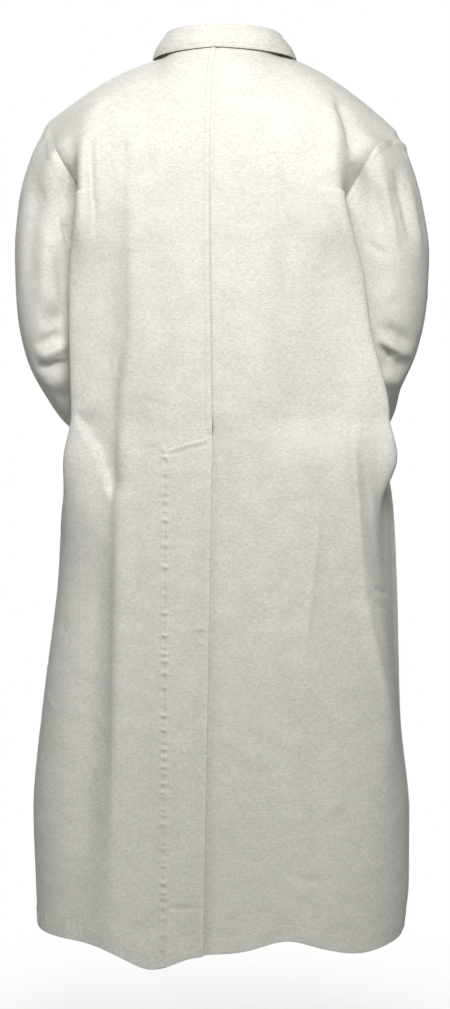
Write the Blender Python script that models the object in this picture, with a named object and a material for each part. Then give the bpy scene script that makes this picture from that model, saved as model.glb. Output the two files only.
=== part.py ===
"""Duster coat, worn, with bent sleeves, built as sewn cloth walls round a general figure.

Metres, +Z up. The origin is the middle of the neck opening at the height of the back neck seam.
+X is the wearer's left, -Y the wearer's front. Each panel is a grid of points on its outer face,
worked out from a few level lines, and its wall goes inwards from there.
"""
import math

import bmesh
import bpy
import numpy as np
from mathutils import Matrix, Vector

COAT = "duster_coat"

# Cloth and seams
WALL = 0.002
SHARP_ANGLE = math.radians(50.0)
SEAM_GAP = 0.0003
LAP_DROP = 0.0034
CANVAS = (0.72, 0.70, 0.64, 1.0)
CANVAS_ROUGHNESS = 0.9
HORN = (0.16, 0.12, 0.09, 1.0)
HORN_ROUGHNESS = 0.35

# Neck opening, as an ellipse in plan that drops towards the front
NECK_HALF = 0.082
NECK_BACK = 0.078
NECK_FRONT = 0.084
NECK_SIDE_Z = -0.014
NECK_FRONT_Z = -0.074
NECK_SHARE = 0.38
NECK_DIP = 1.2

# Shoulder seam, from the neck to the dropped shoulder tip
SHOULDER_BOW = 1.45
SHOULDER_ROUND = 2.2
NAPE_TURN = math.radians(62.0)

# Back corner, the roll of cloth that stands behind each sleeve
CORNER_PLACE = 0.68
CORNER_WIDTH = 0.12
CORNER_BACKWARD = 0.25
CORNER_END_POWER = 12

# Vent in the centre back seam, the wearer's left half over the right half
VENT_TOP_Z = -0.545
VENT_UNDERLAP = 0.062
UNDERLAP_SHARES = (1.0, 0.5)
VENT_SWING = 0.010
VENT_EASE = 0.070

# Front closing, the wearer's left half over the right half
FRONT_LAP = 0.026
FRONT_EASE = 0.030
UNDER_REACH = 0.048

# Grid sizes
BACK_COLUMNS = 14
FRONT_COLUMNS = 11
YOKE_ROWS = 8
SLEEVE_COLUMNS = 18
SECTION_SAMPLES = 160

# One row for each level of the body, from the hem up to the shoulder blades. The side line is the
# side seam up to the underarm row and the armhole from there on.
BODY_FIELDS = ("steps", "back_z", "back_y", "front_z", "front_y", "left_x", "right_x", "sway",
               "side_y", "side_z", "back_square", "corner_left", "corner_right")
BODY_ROWS = (
    ("hem", 2, -1.264, 0.176, -1.262, -0.172, 0.272, 0.257, -0.006, 0.030, -1.252, 2.5, 0.000, 0.002),
    ("rise", 2, -1.190, 0.174, -1.190, -0.171, 0.275, 0.264, -0.006, 0.029, -1.180, 2.5, 0.000, 0.003),
    ("calf", 3, -1.090, 0.170, -1.085, -0.168, 0.278, 0.264, -0.006, 0.028, -1.085, 2.5, 0.000, 0.004),
    ("knee", 3, -0.950, 0.165, -0.940, -0.164, 0.265, 0.250, -0.006, 0.026, -0.940, 2.5, 0.000, 0.004),
    ("thigh", 2, -0.780, 0.160, -0.775, -0.162, 0.245, 0.245, -0.006, 0.022, -0.775, 2.5, 0.000, 0.004),
    ("hip", 2, -0.650, 0.158, -0.648, -0.160, 0.234, 0.238, -0.006, 0.018, -0.648, 2.6, 0.010, 0.020),
    ("waist", 2, -0.590, 0.157, -0.590, -0.158, 0.210, 0.226, -0.006, 0.012, -0.588, 2.8, 0.030, 0.047),
    ("elbow", 2, -0.515, 0.156, -0.512, -0.156, 0.156, 0.138, -0.005, 0.006, -0.512, 3.2, 0.060, 0.110),
    ("ribs", 2, -0.400, 0.153, -0.400, -0.154, 0.158, 0.147, -0.003, 0.003, -0.400, 3.4, 0.058, 0.076),
    ("underarm", 1, -0.312, 0.150, -0.312, -0.150, 0.168, 0.164, -0.001, 0.002, -0.312, 3.4, 0.048, 0.052),
    ("pit", 1, -0.287, 0.149, -0.287, -0.149, 0.170, 0.166, -0.001, 0.026, -0.291, 3.4, 0.045, 0.048),
    ("low armhole", 1, -0.256, 0.148, -0.256, -0.147, 0.174, 0.170, 0.0, 0.055, -0.262, 3.4, 0.041, 0.044),
    ("blade", 0, -0.205, 0.146, -0.205, -0.144, 0.186, 0.181, 0.0, 0.074, -0.215, 3.2, 0.030, 0.032),
)
UNDERARM_ROW = 9
ROWS_BELOW_ARM = sum(row[1] for row in BODY_ROWS[:UNDERARM_ROW])
FRONT_SQUARE = 2.0

# Dips and rises of the back hem: name, x, width, rise
HEM_WAVES = (
    ("left dip", 0.080, 0.050, -0.026),
    ("right rise", -0.110, 0.050, 0.018),
    ("right dip", -0.215, 0.035, -0.006),
)
HEM_FADE_Z = -1.020

# The largest folds of the hanging cloth, ridges outwards and troughs inwards. The path runs from
# its upper end to its lower end as x and z on the body's face: name, x_top, z_top, x_low, z_low,
# width, height.
BACK_FOLDS = (
    ("left turning ridge", 0.113, -0.190, 0.136, -1.230, 0.020, 0.0050),
    ("left hem trough", 0.165, -0.800, 0.190, -1.250, 0.030, -0.0060),
    ("left elbow fold", 0.192, -0.520, 0.146, -0.640, 0.012, 0.0050),
    ("right turning ridge", -0.140, -0.300, -0.134, -0.900, 0.022, 0.0035),
    ("right side ridge", -0.200, -0.560, -0.246, -0.960, 0.016, 0.0070),
    ("right side trough", -0.232, -0.600, -0.262, -0.930, 0.012, -0.0050),
    ("right hem trough", -0.110, -0.950, -0.120, -1.270, 0.035, -0.0060),
)
FRONT_FOLDS = (
    ("left front ridge", 0.100, -0.560, 0.118, -1.240, 0.022, 0.0055),
    ("left front trough", 0.150, -0.700, 0.172, -1.240, 0.024, -0.0055),
    ("right front ridge", -0.108, -0.600, -0.130, -1.240, 0.022, 0.0055),
    ("right front trough", -0.162, -0.760, -0.178, -1.240, 0.024, -0.0055),
)
FOLD_FADE = 0.12
FOLD_EDGE_SHARE = 0.06

# Shoulder tips, outermost ends of the shoulder seams
TIPS = {"left": (0.252, -0.100), "right": (0.243, -0.117)}
SIGNS = {"left": 1.0, "right": -1.0}

# One row for each ring of a sleeve: its outermost and innermost points seen from behind, its
# place and half depth from front to back, and how far it has turned forwards round the elbow
SLEEVE_FIELDS = ("steps", "outer_x", "outer_z", "inner_x", "inner_z", "y", "deep", "turned")
SLEEVE_ROWS = {
    "left": (
        ("armhole", 1, 0.252, -0.100, 0.169, -0.312, 0.000, 0.078, 0.0),
        ("head", 2, 0.278, -0.150, 0.1735, -0.326, 0.001, 0.085, 0.0),
        ("upper arm", 2, 0.296, -0.215, 0.178, -0.346, 0.002, 0.086, 0.0),
        ("biceps", 2, 0.302, -0.290, 0.1815, -0.374, 0.003, 0.084, 0.0),
        ("lower biceps", 2, 0.299, -0.362, 0.184, -0.408, 0.002, 0.079, 6.0),
        ("above elbow", 2, 0.288, -0.425, 0.180, -0.440, -0.006, 0.071, 24.0),
        ("elbow", 3, 0.268, -0.470, 0.166, -0.474, -0.032, 0.065, 50.0),
        ("below elbow", 2, 0.255, -0.500, 0.153, -0.502, -0.080, 0.059, 72.0),
        ("forearm", 3, 0.234, -0.522, 0.134, -0.523, -0.154, 0.054, 78.0),
        ("cuff", 0, 0.212, -0.542, 0.112, -0.542, -0.232, 0.051, 78.0),
    ),
    "right": (
        ("armhole", 1, 0.243, -0.117, 0.166, -0.312, 0.000, 0.078, 0.0),
        ("head", 2, 0.265, -0.160, 0.1705, -0.326, 0.001, 0.084, 0.0),
        ("upper arm", 2, 0.283, -0.222, 0.174, -0.346, 0.002, 0.085, 0.0),
        ("biceps", 2, 0.293, -0.292, 0.175, -0.374, 0.003, 0.083, 0.0),
        ("lower biceps", 2, 0.290, -0.362, 0.174, -0.408, 0.002, 0.079, 6.0),
        ("above elbow", 2, 0.277, -0.424, 0.168, -0.440, -0.006, 0.071, 24.0),
        ("elbow", 3, 0.254, -0.468, 0.153, -0.472, -0.032, 0.065, 50.0),
        ("below elbow", 2, 0.242, -0.500, 0.142, -0.502, -0.080, 0.059, 72.0),
        ("forearm", 3, 0.224, -0.522, 0.125, -0.523, -0.154, 0.054, 78.0),
        ("cuff", 0, 0.206, -0.542, 0.106, -0.542, -0.232, 0.051, 78.0),
    ),
}
ARMHOLE_FADE = 2.0
SLEEVE_CLEAR = 0.0007

# One row for each place round the neck, by its angle from the back: the fold line and the free
# edge of the collar, each as a distance outwards from the neck seam and a height
COLLAR_FIELDS = ("angle", "fold_out", "fold_z", "edge_out", "edge_z")
COLLAR_ROWS = (
    ("back", 0.0, -0.002, 0.0255, 0.0165, -0.0070),
    ("back quarter", 45.0, -0.001, 0.0240, 0.0170, -0.0110),
    ("side", 90.0, -0.001, 0.0165, 0.0205, -0.0150),
    ("front side", 110.0, 0.001, 0.0035, 0.0240, -0.0180),
    ("front quarter", 130.0, 0.003, -0.0150, 0.0315, -0.0335),
    ("breast", 145.0, 0.004, -0.0290, 0.0410, -0.0690),
    ("point", 165.0, 0.004, -0.0430, 0.0480, -0.1060),
    ("front end", 174.0, 0.004, -0.0460, 0.0420, -0.1040),
)
COLLAR_COLUMNS = 34
STAND_STEPS = 3
STAND_GAP = 0.0028
ROLL_STEPS = 5
FALL_STEPS = 4
ROLL_RADIUS = 0.0036
STAND_LEAN = 0.0034
FALL_CROWN = 0.0030

# Buttons down the front closing
BUTTON_COUNT = 5
BUTTON_RADIUS = 0.0115
BUTTON_THICK = 0.0036
BUTTON_EDGE = 0.0009
BUTTON_FIRST_Z = -0.125
BUTTON_STEP = 0.130
BUTTON_SIDES = 20


def smooth_rows(rows, at):
    """Columns of a table between its rows, by monotone cubic curves at fractional row numbers."""
    rise = np.diff(rows, axis=0)
    product = rise[:-1] * rise[1:]
    total = rise[:-1] + rise[1:]
    inner = np.where(product > 0.0, 2.0 * product / np.where(total == 0.0, 1.0, total), 0.0)
    slope = np.vstack([rise[:1], inner, rise[-1:]])
    low = np.clip(np.floor(at).astype(int), 0, len(rows) - 2)
    t = (at - low)[:, None]
    return ((2 * t ** 3 - 3 * t ** 2 + 1) * rows[low] + (t ** 3 - 2 * t ** 2 + t) * slope[low]
            + (3 * t ** 2 - 2 * t ** 3) * rows[low + 1] + (t ** 3 - t ** 2) * slope[low + 1])


def table(rows, fields, at):
    """Named columns of a table at fractional row numbers."""
    values = smooth_rows(np.array([row[1:] for row in rows], dtype=float), at)
    return {name: values[:, [i]] for i, name in enumerate(fields)}


def row_stops(rows):
    """Fractional row numbers of the grid lines, with each row's own number of steps above it."""
    stops = [np.linspace(i, i + 1, row[1], endpoint=False) for i, row in enumerate(rows[:-1])]
    return np.append(np.concatenate(stops), len(rows) - 1)


def unit(vectors):
    """Vectors scaled to length one."""
    return vectors / np.linalg.norm(vectors, axis=-1, keepdims=True)


def body_levels(side, face, at):
    """Section lines of one quarter of the body, sampled finely from the centre to the side line.

    The last value returned is each sample's share of the section's length from the centre.
    """
    level = table(BODY_ROWS, BODY_FIELDS, at)
    side_x = level[side + "_x"]
    side_y = level["side_y"] if face == "back" else -level["side_y"] * front_share(at)
    square = level["back_square"] if face == "back" else FRONT_SQUARE
    turn = np.linspace(0.0, math.pi / 2, SECTION_SAMPLES)[None, :]
    x = side_x * np.sin(turn) ** (2.0 / square)
    y = side_y + (level[face + "_y"] - side_y) * np.clip(np.cos(turn), 0.0, 1.0) ** (2.0 / square)
    if face == "back":
        share = arc_share(x, y)
        roll = np.exp(-((share - CORNER_PLACE) / CORNER_WIDTH) ** 2) * (1.0 - share ** CORNER_END_POWER)
        x = x + level["corner_" + side] * roll
        y = y + CORNER_BACKWARD * level["corner_" + side] * roll
    share = arc_share(x, y)
    z = level[face + "_z"] + (level["side_z"] - level[face + "_z"]) * share ** 2
    return x, y, z, share


def front_share(at):
    """One over the armhole, minus one down the side seam, which is shared by back and front."""
    return np.where(at > UNDERARM_ROW, 1.0, -1.0)[:, None]


def arc_share(x, y):
    """Share of each section's length that lies between the centre and each sample."""
    step = np.hypot(np.diff(x, axis=1), np.diff(y, axis=1))
    length = np.cumsum(np.hstack([np.zeros((len(x), 1)), step]), axis=1)
    return length / length[:, -1:]


def section_length(x, y):
    """Length of each section line."""
    return np.hypot(np.diff(x, axis=1), np.diff(y, axis=1)).sum(axis=1)


def read_section(sampled, share, wanted):
    """Values along a section at the wanted shares of its length, mirrored past the centre."""
    rows = [np.interp(abs(w), s, v) for w, s, v in zip(wanted, share, sampled)]
    return np.array(rows)


def neck_heights(face, share):
    """Height of the neck seam where it has covered a share of its way to the centre of a face."""
    if face == "back":
        return NECK_SIDE_Z * (1.0 - share)
    return NECK_SIDE_Z + (NECK_FRONT_Z - NECK_SIDE_Z) * share ** NECK_DIP


def top_line(side, face, u):
    """Upper edge of a quarter: the neckline up to NECK_SHARE, then the shoulder seam to its tip."""
    tip_x, tip_z = TIPS[side]
    around = np.clip(np.abs(u) / NECK_SHARE, 0.0, 1.0) * math.pi / 2
    along = np.clip((np.abs(u) - NECK_SHARE) / (1.0 - NECK_SHARE), 0.0, 1.0)
    x = np.sign(u) * (NECK_HALF * np.sin(around) + (tip_x - NECK_HALF) * along)
    depth = NECK_BACK if face == "back" else -NECK_FRONT
    z = neck_heights(face, np.cos(around))
    return x, depth * np.cos(around), z + (tip_z - NECK_SIDE_Z) * along ** SHOULDER_BOW


def panel_points(side, face, at, shares, yoke_rows):
    """Outer points of a quarter of the body, rows from the hem to the top and columns outwards.

    Up to the blades a row is a level line. Above them each column bends over from its place at
    the blades to the neckline or shoulder seam like a quarter of an ellipse.
    """
    x, y, z, share = body_levels(side, face, at)
    lower = np.stack([read_section(x, share, shares) * np.where(shares < 0.0, -1.0, 1.0),
                      read_section(y, share, shares), read_section(z, share, shares)], axis=-1)
    base = lower[-1]
    u = shares[-1]
    top = np.stack(top_line(side, face, u), axis=-1)
    open_turn = NAPE_TURN + (math.pi / 2 - NAPE_TURN) * np.clip(np.abs(u) / NECK_SHARE, 0.0, 1.0) ** 2
    turn = np.linspace(0.0, 1.0, yoke_rows + 1)[1:, None] * open_turn[None, :]
    power = 2.0 / SHOULDER_ROUND
    upwards = np.sin(turn) ** power / np.sin(open_turn) ** power
    drop = 1.0 - np.clip(np.cos(open_turn), 0.0, 1.0) ** power
    inwards = (1.0 - np.clip(np.cos(turn), 0.0, 1.0) ** power) / drop
    yoke = np.stack([base[:, 0] + (top[:, 0] - base[:, 0]) * upwards,
                     base[:, 1] + (top[:, 1] - base[:, 1]) * inwards,
                     base[:, 2] + (top[:, 2] - base[:, 2]) * upwards], axis=-1)
    points = np.concatenate([lower, yoke]) * (SIGNS[side], 1.0, 1.0)
    sway = table(BODY_ROWS, BODY_FIELDS, at)["sway"]
    points[:len(at), :, 0] += sway
    return points + hem_waves(points) if face == "back" else points


def hem_waves(points):
    """Height offsets that let the back hem dip and rise, fading out above it."""
    near = np.clip((HEM_FADE_Z - points[..., 2]) / (HEM_FADE_Z - BODY_ROWS[0][2]), 0.0, 1.0) ** 2
    offset = np.zeros_like(points)
    for _, x, width, rise in HEM_WAVES:
        offset[..., 2] += rise * np.exp(-((points[..., 0] - x) / width) ** 2) * near
    return offset


def grid_normals(points, outward, ring=False):
    """Unit normals at a grid's points, each the mean of the faces round it, on the outward side."""
    wide = np.concatenate([points, points[:, :1]], axis=1) if ring else points
    faces = np.cross(wide[1:, 1:] - wide[:-1, :-1], wide[1:, :-1] - wide[:-1, 1:])
    total = np.zeros_like(wide)
    for rows in (slice(None, -1), slice(1, None)):
        for columns in (slice(None, -1), slice(1, None)):
            total[rows, columns] += faces
    if ring:
        total[:, 0] += total[:, -1]
        total = total[:, :-1]
    normals = unit(total)
    return normals * np.sign(np.sum(normals * outward))


def fold_heights(points, folds):
    """Height of the folds at each point: a soft bell across each fold's path, faded at its ends."""
    height = np.zeros(points.shape[:2])
    for row in folds:
        x_top, z_top, x_low, z_low, width, rise = row[1:]
        down = (z_top - points[..., 2]) / (z_top - z_low)
        path = x_top + (x_low - x_top) * np.clip(down, 0.0, 1.0)
        past = np.clip(np.abs(down - 0.5) - 0.5, 0.0, None) * (z_top - z_low) / FOLD_FADE
        height += rise * np.exp(-((points[..., 0] - path) / width) ** 2 - (2.0 * past) ** 2)
    return height


def folded(points, normals, folds, shares):
    """Points moved along their normals by the folds, held still along the side lines and the top."""
    held = np.clip((1.0 - shares) / FOLD_EDGE_SHARE, 0.0, 1.0)
    held = np.vstack([held, np.repeat(held[-1:], len(points) - len(held), axis=0)])
    return points + normals * (fold_heights(points, folds) * held)[..., None]


def wall_mesh(name, outer, normals, kept=None, ring=False):
    """Closed wall from a grid of outer points: outer face, inner face and a rim round each edge."""
    rows, columns = outer.shape[:2]
    inner = outer - normals * WALL
    spans = columns if ring else columns - 1
    kept = np.ones((rows - 1, spans), dtype=bool) if kept is None else kept

    def corner(r, c, face):
        return face * rows * columns + r * columns + c % columns

    faces = []
    for r in range(rows - 1):
        for c in range(spans):
            if not kept[r, c]:
                continue
            loop = [(r, c), (r, c + 1), (r + 1, c + 1), (r + 1, c)]
            spots = [outer[i, j % columns] for i, j in loop]
            short = np.linalg.norm(spots[0] - spots[2]) <= np.linalg.norm(spots[1] - spots[3])
            for i, j, k in ((0, 1, 2), (0, 2, 3)) if short else ((0, 1, 3), (1, 2, 3)):
                faces.append([corner(*loop[i], 0), corner(*loop[j], 0), corner(*loop[k], 0)])
                faces.append([corner(*loop[k], 1), corner(*loop[j], 1), corner(*loop[i], 1)])
            beside = [(r - 1, c), (r, c + 1), (r + 1, c), (r, c - 1)]
            for i, (br, bc) in enumerate(beside):
                bc = bc % spans if ring else bc
                if 0 <= br < rows - 1 and 0 <= bc < spans and kept[br, bc]:
                    continue
                first, second = loop[i], loop[(i + 1) % 4]
                faces.append([corner(*second, 0), corner(*first, 0),
                              corner(*first, 1), corner(*second, 1)])
    mesh = bpy.data.meshes.new(name)
    vertices = np.concatenate([outer.reshape(-1, 3), inner.reshape(-1, 3)])
    mesh.from_pydata(vertices.tolist(), [], faces)
    shape = bmesh.new()
    shape.from_mesh(mesh)
    loose = [vertex for vertex in shape.verts if not vertex.link_faces]
    bmesh.ops.delete(shape, geom=loose, context="VERTS")
    bmesh.ops.recalc_face_normals(shape, faces=shape.faces)
    shape.to_mesh(mesh)
    shape.free()
    return mesh


def back_grid(side):
    """Shares along each row and outer points of one back panel, with its underlap on the right."""
    at = row_stops(BODY_ROWS)
    x, y, z, _ = body_levels(side, "back", at)
    length = section_length(x, y)
    columns = np.linspace(0.0, 1.0, BACK_COLUMNS + 1)
    height = z[:, 0]
    below = np.clip((VENT_TOP_Z - height) / (VENT_TOP_Z - height[0]), 0.0, 1.0)
    if side == "left":
        start = VENT_SWING * below / length
        shares = start[:, None] + (1.0 - start[:, None]) * columns[None, :]
    else:
        lap = np.array(UNDERLAP_SHARES)[None, :] * (-VENT_UNDERLAP / length)[:, None]
        shares = np.hstack([lap, np.repeat(columns[None, :], len(at), axis=0)])
    points = panel_points(side, "back", at, shares, YOKE_ROWS)
    return shares, points


def front_grid(side):
    """Shares along each row and outer points of one front panel, with its lap past the centre."""
    at = row_stops(BODY_ROWS)
    x, y, _, _ = body_levels(side, "front", at)
    length = section_length(x, y)
    columns = np.linspace(0.0, 1.0, FRONT_COLUMNS + 1)
    lap = (-FRONT_LAP / length)[:, None]
    shares = np.hstack([lap, np.repeat(columns[None, :], len(at), axis=0)])
    return shares, panel_points(side, "front", at, shares, YOKE_ROWS)


def under_drop(distance, ease):
    """Share of the lap's drop at a distance past its upper edge, eased in over a short way."""
    t = np.clip(1.0 - distance / ease, 0.0, 1.0)
    return t * t * (3.0 - 2.0 * t)


def back_outer(side):
    """Outer points and normals of a back panel, with its folds and, under the vent, its drop."""
    shares, points = back_grid(side)
    normals = grid_normals(points, (0.0, 1.0, 0.0))
    points = folded(points, normals, BACK_FOLDS, shares)
    if side == "right":
        lengthwise = under_drop(points[..., 2] - VENT_TOP_Z, VENT_EASE)
        crosswise = under_drop(-points[..., 0], VENT_EASE)
        points = points - normals * (LAP_DROP * lengthwise * crosswise)[..., None]
    return points, normals


def front_outer(side):
    """Outer points and normals of a front panel, with its folds and, on the under side, its drop."""
    shares, points = front_grid(side)
    normals = grid_normals(points, (0.0, -1.0, 0.0))
    points = folded(points, normals, FRONT_FOLDS, shares)
    if side == "right":
        crosswise = under_drop(-points[..., 0] - UNDER_REACH, FRONT_EASE)
        points = points - normals * (LAP_DROP * crosswise)[..., None]
    return points, normals


def opened_seams(points, columns_before, way):
    """Points drawn back by a seam gap from the side seam and the shoulder seam.

    The columns before the centre line belong to a lap and have no shoulder seam.
    """
    moved = points.copy()
    moved[:ROWS_BELOW_ARM + 1, -1, 1] += way * SEAM_GAP
    neck = columns_before + int(round(NECK_SHARE * (points.shape[1] - 1 - columns_before)))
    moved[-1, neck:, 1] += way * SEAM_GAP
    return moved


def armhole(back, front):
    """Edge of the armhole from the shoulder tip down the back to the underarm and up the front."""
    rear = back[ROWS_BELOW_ARM:, -1][::-1]
    fore = front[ROWS_BELOW_ARM:, -1]
    half = SLEEVE_COLUMNS // 2

    def spread(edge):
        length = np.append(0.0, np.cumsum(np.linalg.norm(np.diff(edge, axis=0), axis=1)))
        wanted = np.linspace(0.0, length[-1], half + 1)
        return np.stack([np.interp(wanted, length, edge[:, i]) for i in range(3)], axis=-1)

    return np.concatenate([spread(rear)[:-1], spread(fore)[:-1]])


def sleeve_outer(side, edge):
    """Outer points and normals of a sleeve, as elliptic rings from the armhole edge to the cuff."""
    rows = SLEEVE_ROWS[side]
    at = row_stops(rows)
    ring = table(rows, SLEEVE_FIELDS, at)
    still = np.zeros_like(ring["y"])
    outer = np.hstack([ring["outer_x"], ring["y"], ring["outer_z"]])
    inner = np.hstack([ring["inner_x"], ring["y"], ring["inner_z"]])
    centre = (outer + inner) / 2.0
    reach = (outer - inner) / 2.0
    out = unit(reach)
    turned = np.radians(ring["turned"])
    down = np.hstack([out[:, 2:], still, -out[:, :1]])
    back = np.hstack([still, np.cos(turned), still]) + down * np.sin(turned)
    angle = np.linspace(0.0, 2.0 * math.pi, SLEEVE_COLUMNS, endpoint=False)
    points = (centre[:, None] + reach[:, None] * np.cos(angle)[None, :, None]
              + back[:, None] * (ring["deep"] * np.sin(angle))[..., None])
    points = points * (SIGNS[side], 1.0, 1.0)
    fade = np.clip(1.0 - at / ARMHOLE_FADE, 0.0, 1.0) ** 2
    points = points + (edge - points[0])[None] * fade[:, None, None]
    normals = grid_normals(points, points - points.mean(axis=1, keepdims=True), ring=True)
    away = unit(points[1] - points[0])
    points[0] = points[0] + away * SLEEVE_CLEAR + np.array([SIGNS[side], 0.0, 0.0]) * SLEEVE_CLEAR
    return points, normals


def neck_line(angle):
    """Neck seam at angles round the neck, with its outward direction in plan."""
    front = np.cos(angle) < 0.0
    depth = np.where(front, NECK_FRONT, NECK_BACK)
    x = NECK_HALF * np.sin(angle)
    y = depth * np.cos(angle)
    share = np.abs(np.cos(angle))
    z = np.where(front, neck_heights("front", share), neck_heights("back", share))
    outwards = unit(np.stack([np.sin(angle) / NECK_HALF, np.cos(angle) / depth], axis=-1))
    return x, y, z, outwards


def collar_outer():
    """Outer points and normals of the collar: up the stand, over the roll and down the fall."""
    stops = np.array([row[1] for row in COLLAR_ROWS])
    last = stops[-1]
    angle = np.linspace(-last, last, COLLAR_COLUMNS + 1)
    at = np.interp(np.abs(angle), stops, np.arange(len(stops)))
    line = table(COLLAR_ROWS, COLLAR_FIELDS, at)
    x, y, seam_z, outwards = neck_line(np.radians(angle))
    seam_z = seam_z[:, None] + STAND_GAP
    up = np.linspace(0.0, 1.0, STAND_STEPS + 1)[:-1]
    stand_top = line["fold_z"] - ROLL_RADIUS
    stand_out = -STAND_LEAN + (line["fold_out"] - ROLL_RADIUS + STAND_LEAN) * up
    stand_z = seam_z + (stand_top - seam_z) * up
    turn = np.linspace(math.pi, 0.0, ROLL_STEPS + 1)[None, :]
    roll_out = line["fold_out"] + ROLL_RADIUS * np.cos(turn)
    roll_z = stand_top + ROLL_RADIUS * np.sin(turn)
    down = np.linspace(0.0, 1.0, FALL_STEPS + 1)[1:]
    crown = FALL_CROWN * np.sin(math.pi * down)
    fall_start = line["fold_out"] + ROLL_RADIUS
    fall_out = fall_start + (line["edge_out"] - fall_start) * down + crown
    fall_z = stand_top + (line["edge_z"] - stand_top) * down
    distance = np.hstack([stand_out, roll_out, fall_out])
    height = np.hstack([stand_z, roll_z, fall_z])
    points = np.stack([x[:, None] + outwards[:, :1] * distance,
                       y[:, None] + outwards[:, 1:] * distance, height], axis=-1)
    normals = grid_normals(points, 1.0)
    return points, normals * np.sign(normals[COLLAR_COLUMNS // 2, -1, 1])


def material(name, colour, roughness):
    """Plain surface for one kind of piece."""
    finish = bpy.data.materials.new(name)
    finish.use_nodes = True
    shader = finish.node_tree.nodes["Principled BSDF"]
    shader.inputs["Base Color"].default_value = colour
    shader.inputs["Roughness"].default_value = roughness
    shader.inputs["Metallic"].default_value = 0.0
    return finish


def add_piece(name, mesh, collection, finish):
    """Object for one piece, smooth shaded but for its rims."""
    piece = bpy.data.objects.new(name, mesh)
    collection.objects.link(piece)
    mesh.materials.append(finish)
    mesh.shade_smooth()
    mesh.set_sharp_from_angle(angle=SHARP_ANGLE)
    return piece


def button_mesh(name):
    """Flat round button with eased edges, its axis along Y."""
    shape = bmesh.new()
    bmesh.ops.create_cone(shape, cap_ends=True, segments=BUTTON_SIDES, radius1=BUTTON_RADIUS,
                          radius2=BUTTON_RADIUS, depth=BUTTON_THICK)
    rims = [edge for edge in shape.edges if abs(edge.verts[0].co.z - edge.verts[1].co.z) < 1e-6]
    bmesh.ops.bevel(shape, geom=rims, offset=BUTTON_EDGE, segments=1, affect="EDGES")
    bmesh.ops.rotate(shape, cent=(0, 0, 0), matrix=Matrix.Rotation(math.pi / 2, 3, "X"),
                     verts=shape.verts)
    mesh = bpy.data.meshes.new(name)
    shape.to_mesh(mesh)
    shape.free()
    return mesh


def build_body(collection):
    """Back and front panels of both sides, and the armhole edges for the sleeves."""
    edges = {}
    for side in SIGNS:
        back, back_normals = back_outer(side)
        front, front_normals = front_outer(side)
        extra = len(UNDERLAP_SHARES) if side == "right" else 0
        edges[side] = armhole(back, front)
        rim = unit(back_normals[:, -1] + front_normals[:, -1])
        back_normals[:ROWS_BELOW_ARM + 1, -1] = rim[:ROWS_BELOW_ARM + 1]
        front_normals[:ROWS_BELOW_ARM + 1, -1] = rim[:ROWS_BELOW_ARM + 1]
        back = opened_seams(back, extra, 1.0)
        front = opened_seams(front, 1, -1.0)
        kept = None
        if side == "right":
            kept = np.ones((len(back) - 1, back.shape[1] - 1), dtype=bool)
            above = back[1:, extra, 2] > VENT_TOP_Z
            kept[above, :extra] = False
            back[:, extra, 0] -= SEAM_GAP
        back_finish = material("canvas_back_" + side, CANVAS, CANVAS_ROUGHNESS)
        add_piece("back_" + side, wall_mesh("back_" + side, back, back_normals, kept),
                  collection, back_finish)
        add_piece("front_" + side, wall_mesh("front_" + side, front, front_normals),
                  collection, material("canvas_front_" + side, CANVAS, CANVAS_ROUGHNESS))
    return edges


def build_sleeves(collection, edges):
    """A tube of cloth from each armhole to its open cuff."""
    for side in SIGNS:
        points, normals = sleeve_outer(side, edges[side])
        add_piece("sleeve_" + side, wall_mesh("sleeve_" + side, points, normals, ring=True),
                  collection, material("canvas_sleeve_" + side, CANVAS, CANVAS_ROUGHNESS))


def build_collar(collection):
    """The turned-down collar, one cloth from its seam over the roll to its free edge."""
    points, normals = collar_outer()
    add_piece("collar", wall_mesh("collar", points, normals), collection,
              material("canvas_collar", CANVAS, CANVAS_ROUGHNESS))


def build_buttons(collection):
    """Buttons on the centre line of the left front, just clear of its outer face."""
    front, _ = front_outer("left")
    line = front[:, 1]
    for i in range(BUTTON_COUNT):
        z = BUTTON_FIRST_Z - i * BUTTON_STEP
        reach = [np.interp(z + dz, line[:, 2], line[:, 1]) for dz in (-BUTTON_RADIUS, 0, BUTTON_RADIUS)]
        name = "button_%d" % (i + 1)
        piece = add_piece(name, button_mesh(name), collection, material(name, HORN, HORN_ROUGHNESS))
        piece.location = Vector((0.0, min(reach) - SEAM_GAP - BUTTON_THICK / 2, z))


def main():
    """Builds the coat from an empty file."""
    for thing in list(bpy.data.objects):
        bpy.data.objects.remove(thing, do_unlink=True)
    collection = bpy.data.collections.new(COAT)
    bpy.context.scene.collection.children.link(collection)
    edges = build_body(collection)
    build_sleeves(collection, edges)
    build_collar(collection)
    build_buttons(collection)


main()
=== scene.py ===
"""Looks of a worn duster coat of undyed linen and cotton canvas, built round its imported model.

Metres, +Z up, +X the wearer's left, -Y the wearer's front. Every panel is a fine grid on the same
form as its solid, with creases, seams, hems and puckers moved out along its normals.
"""
import logging
import math
from abc import ABC, abstractmethod
from collections.abc import Iterable
from dataclasses import dataclass, field, replace
from enum import Enum

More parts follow.
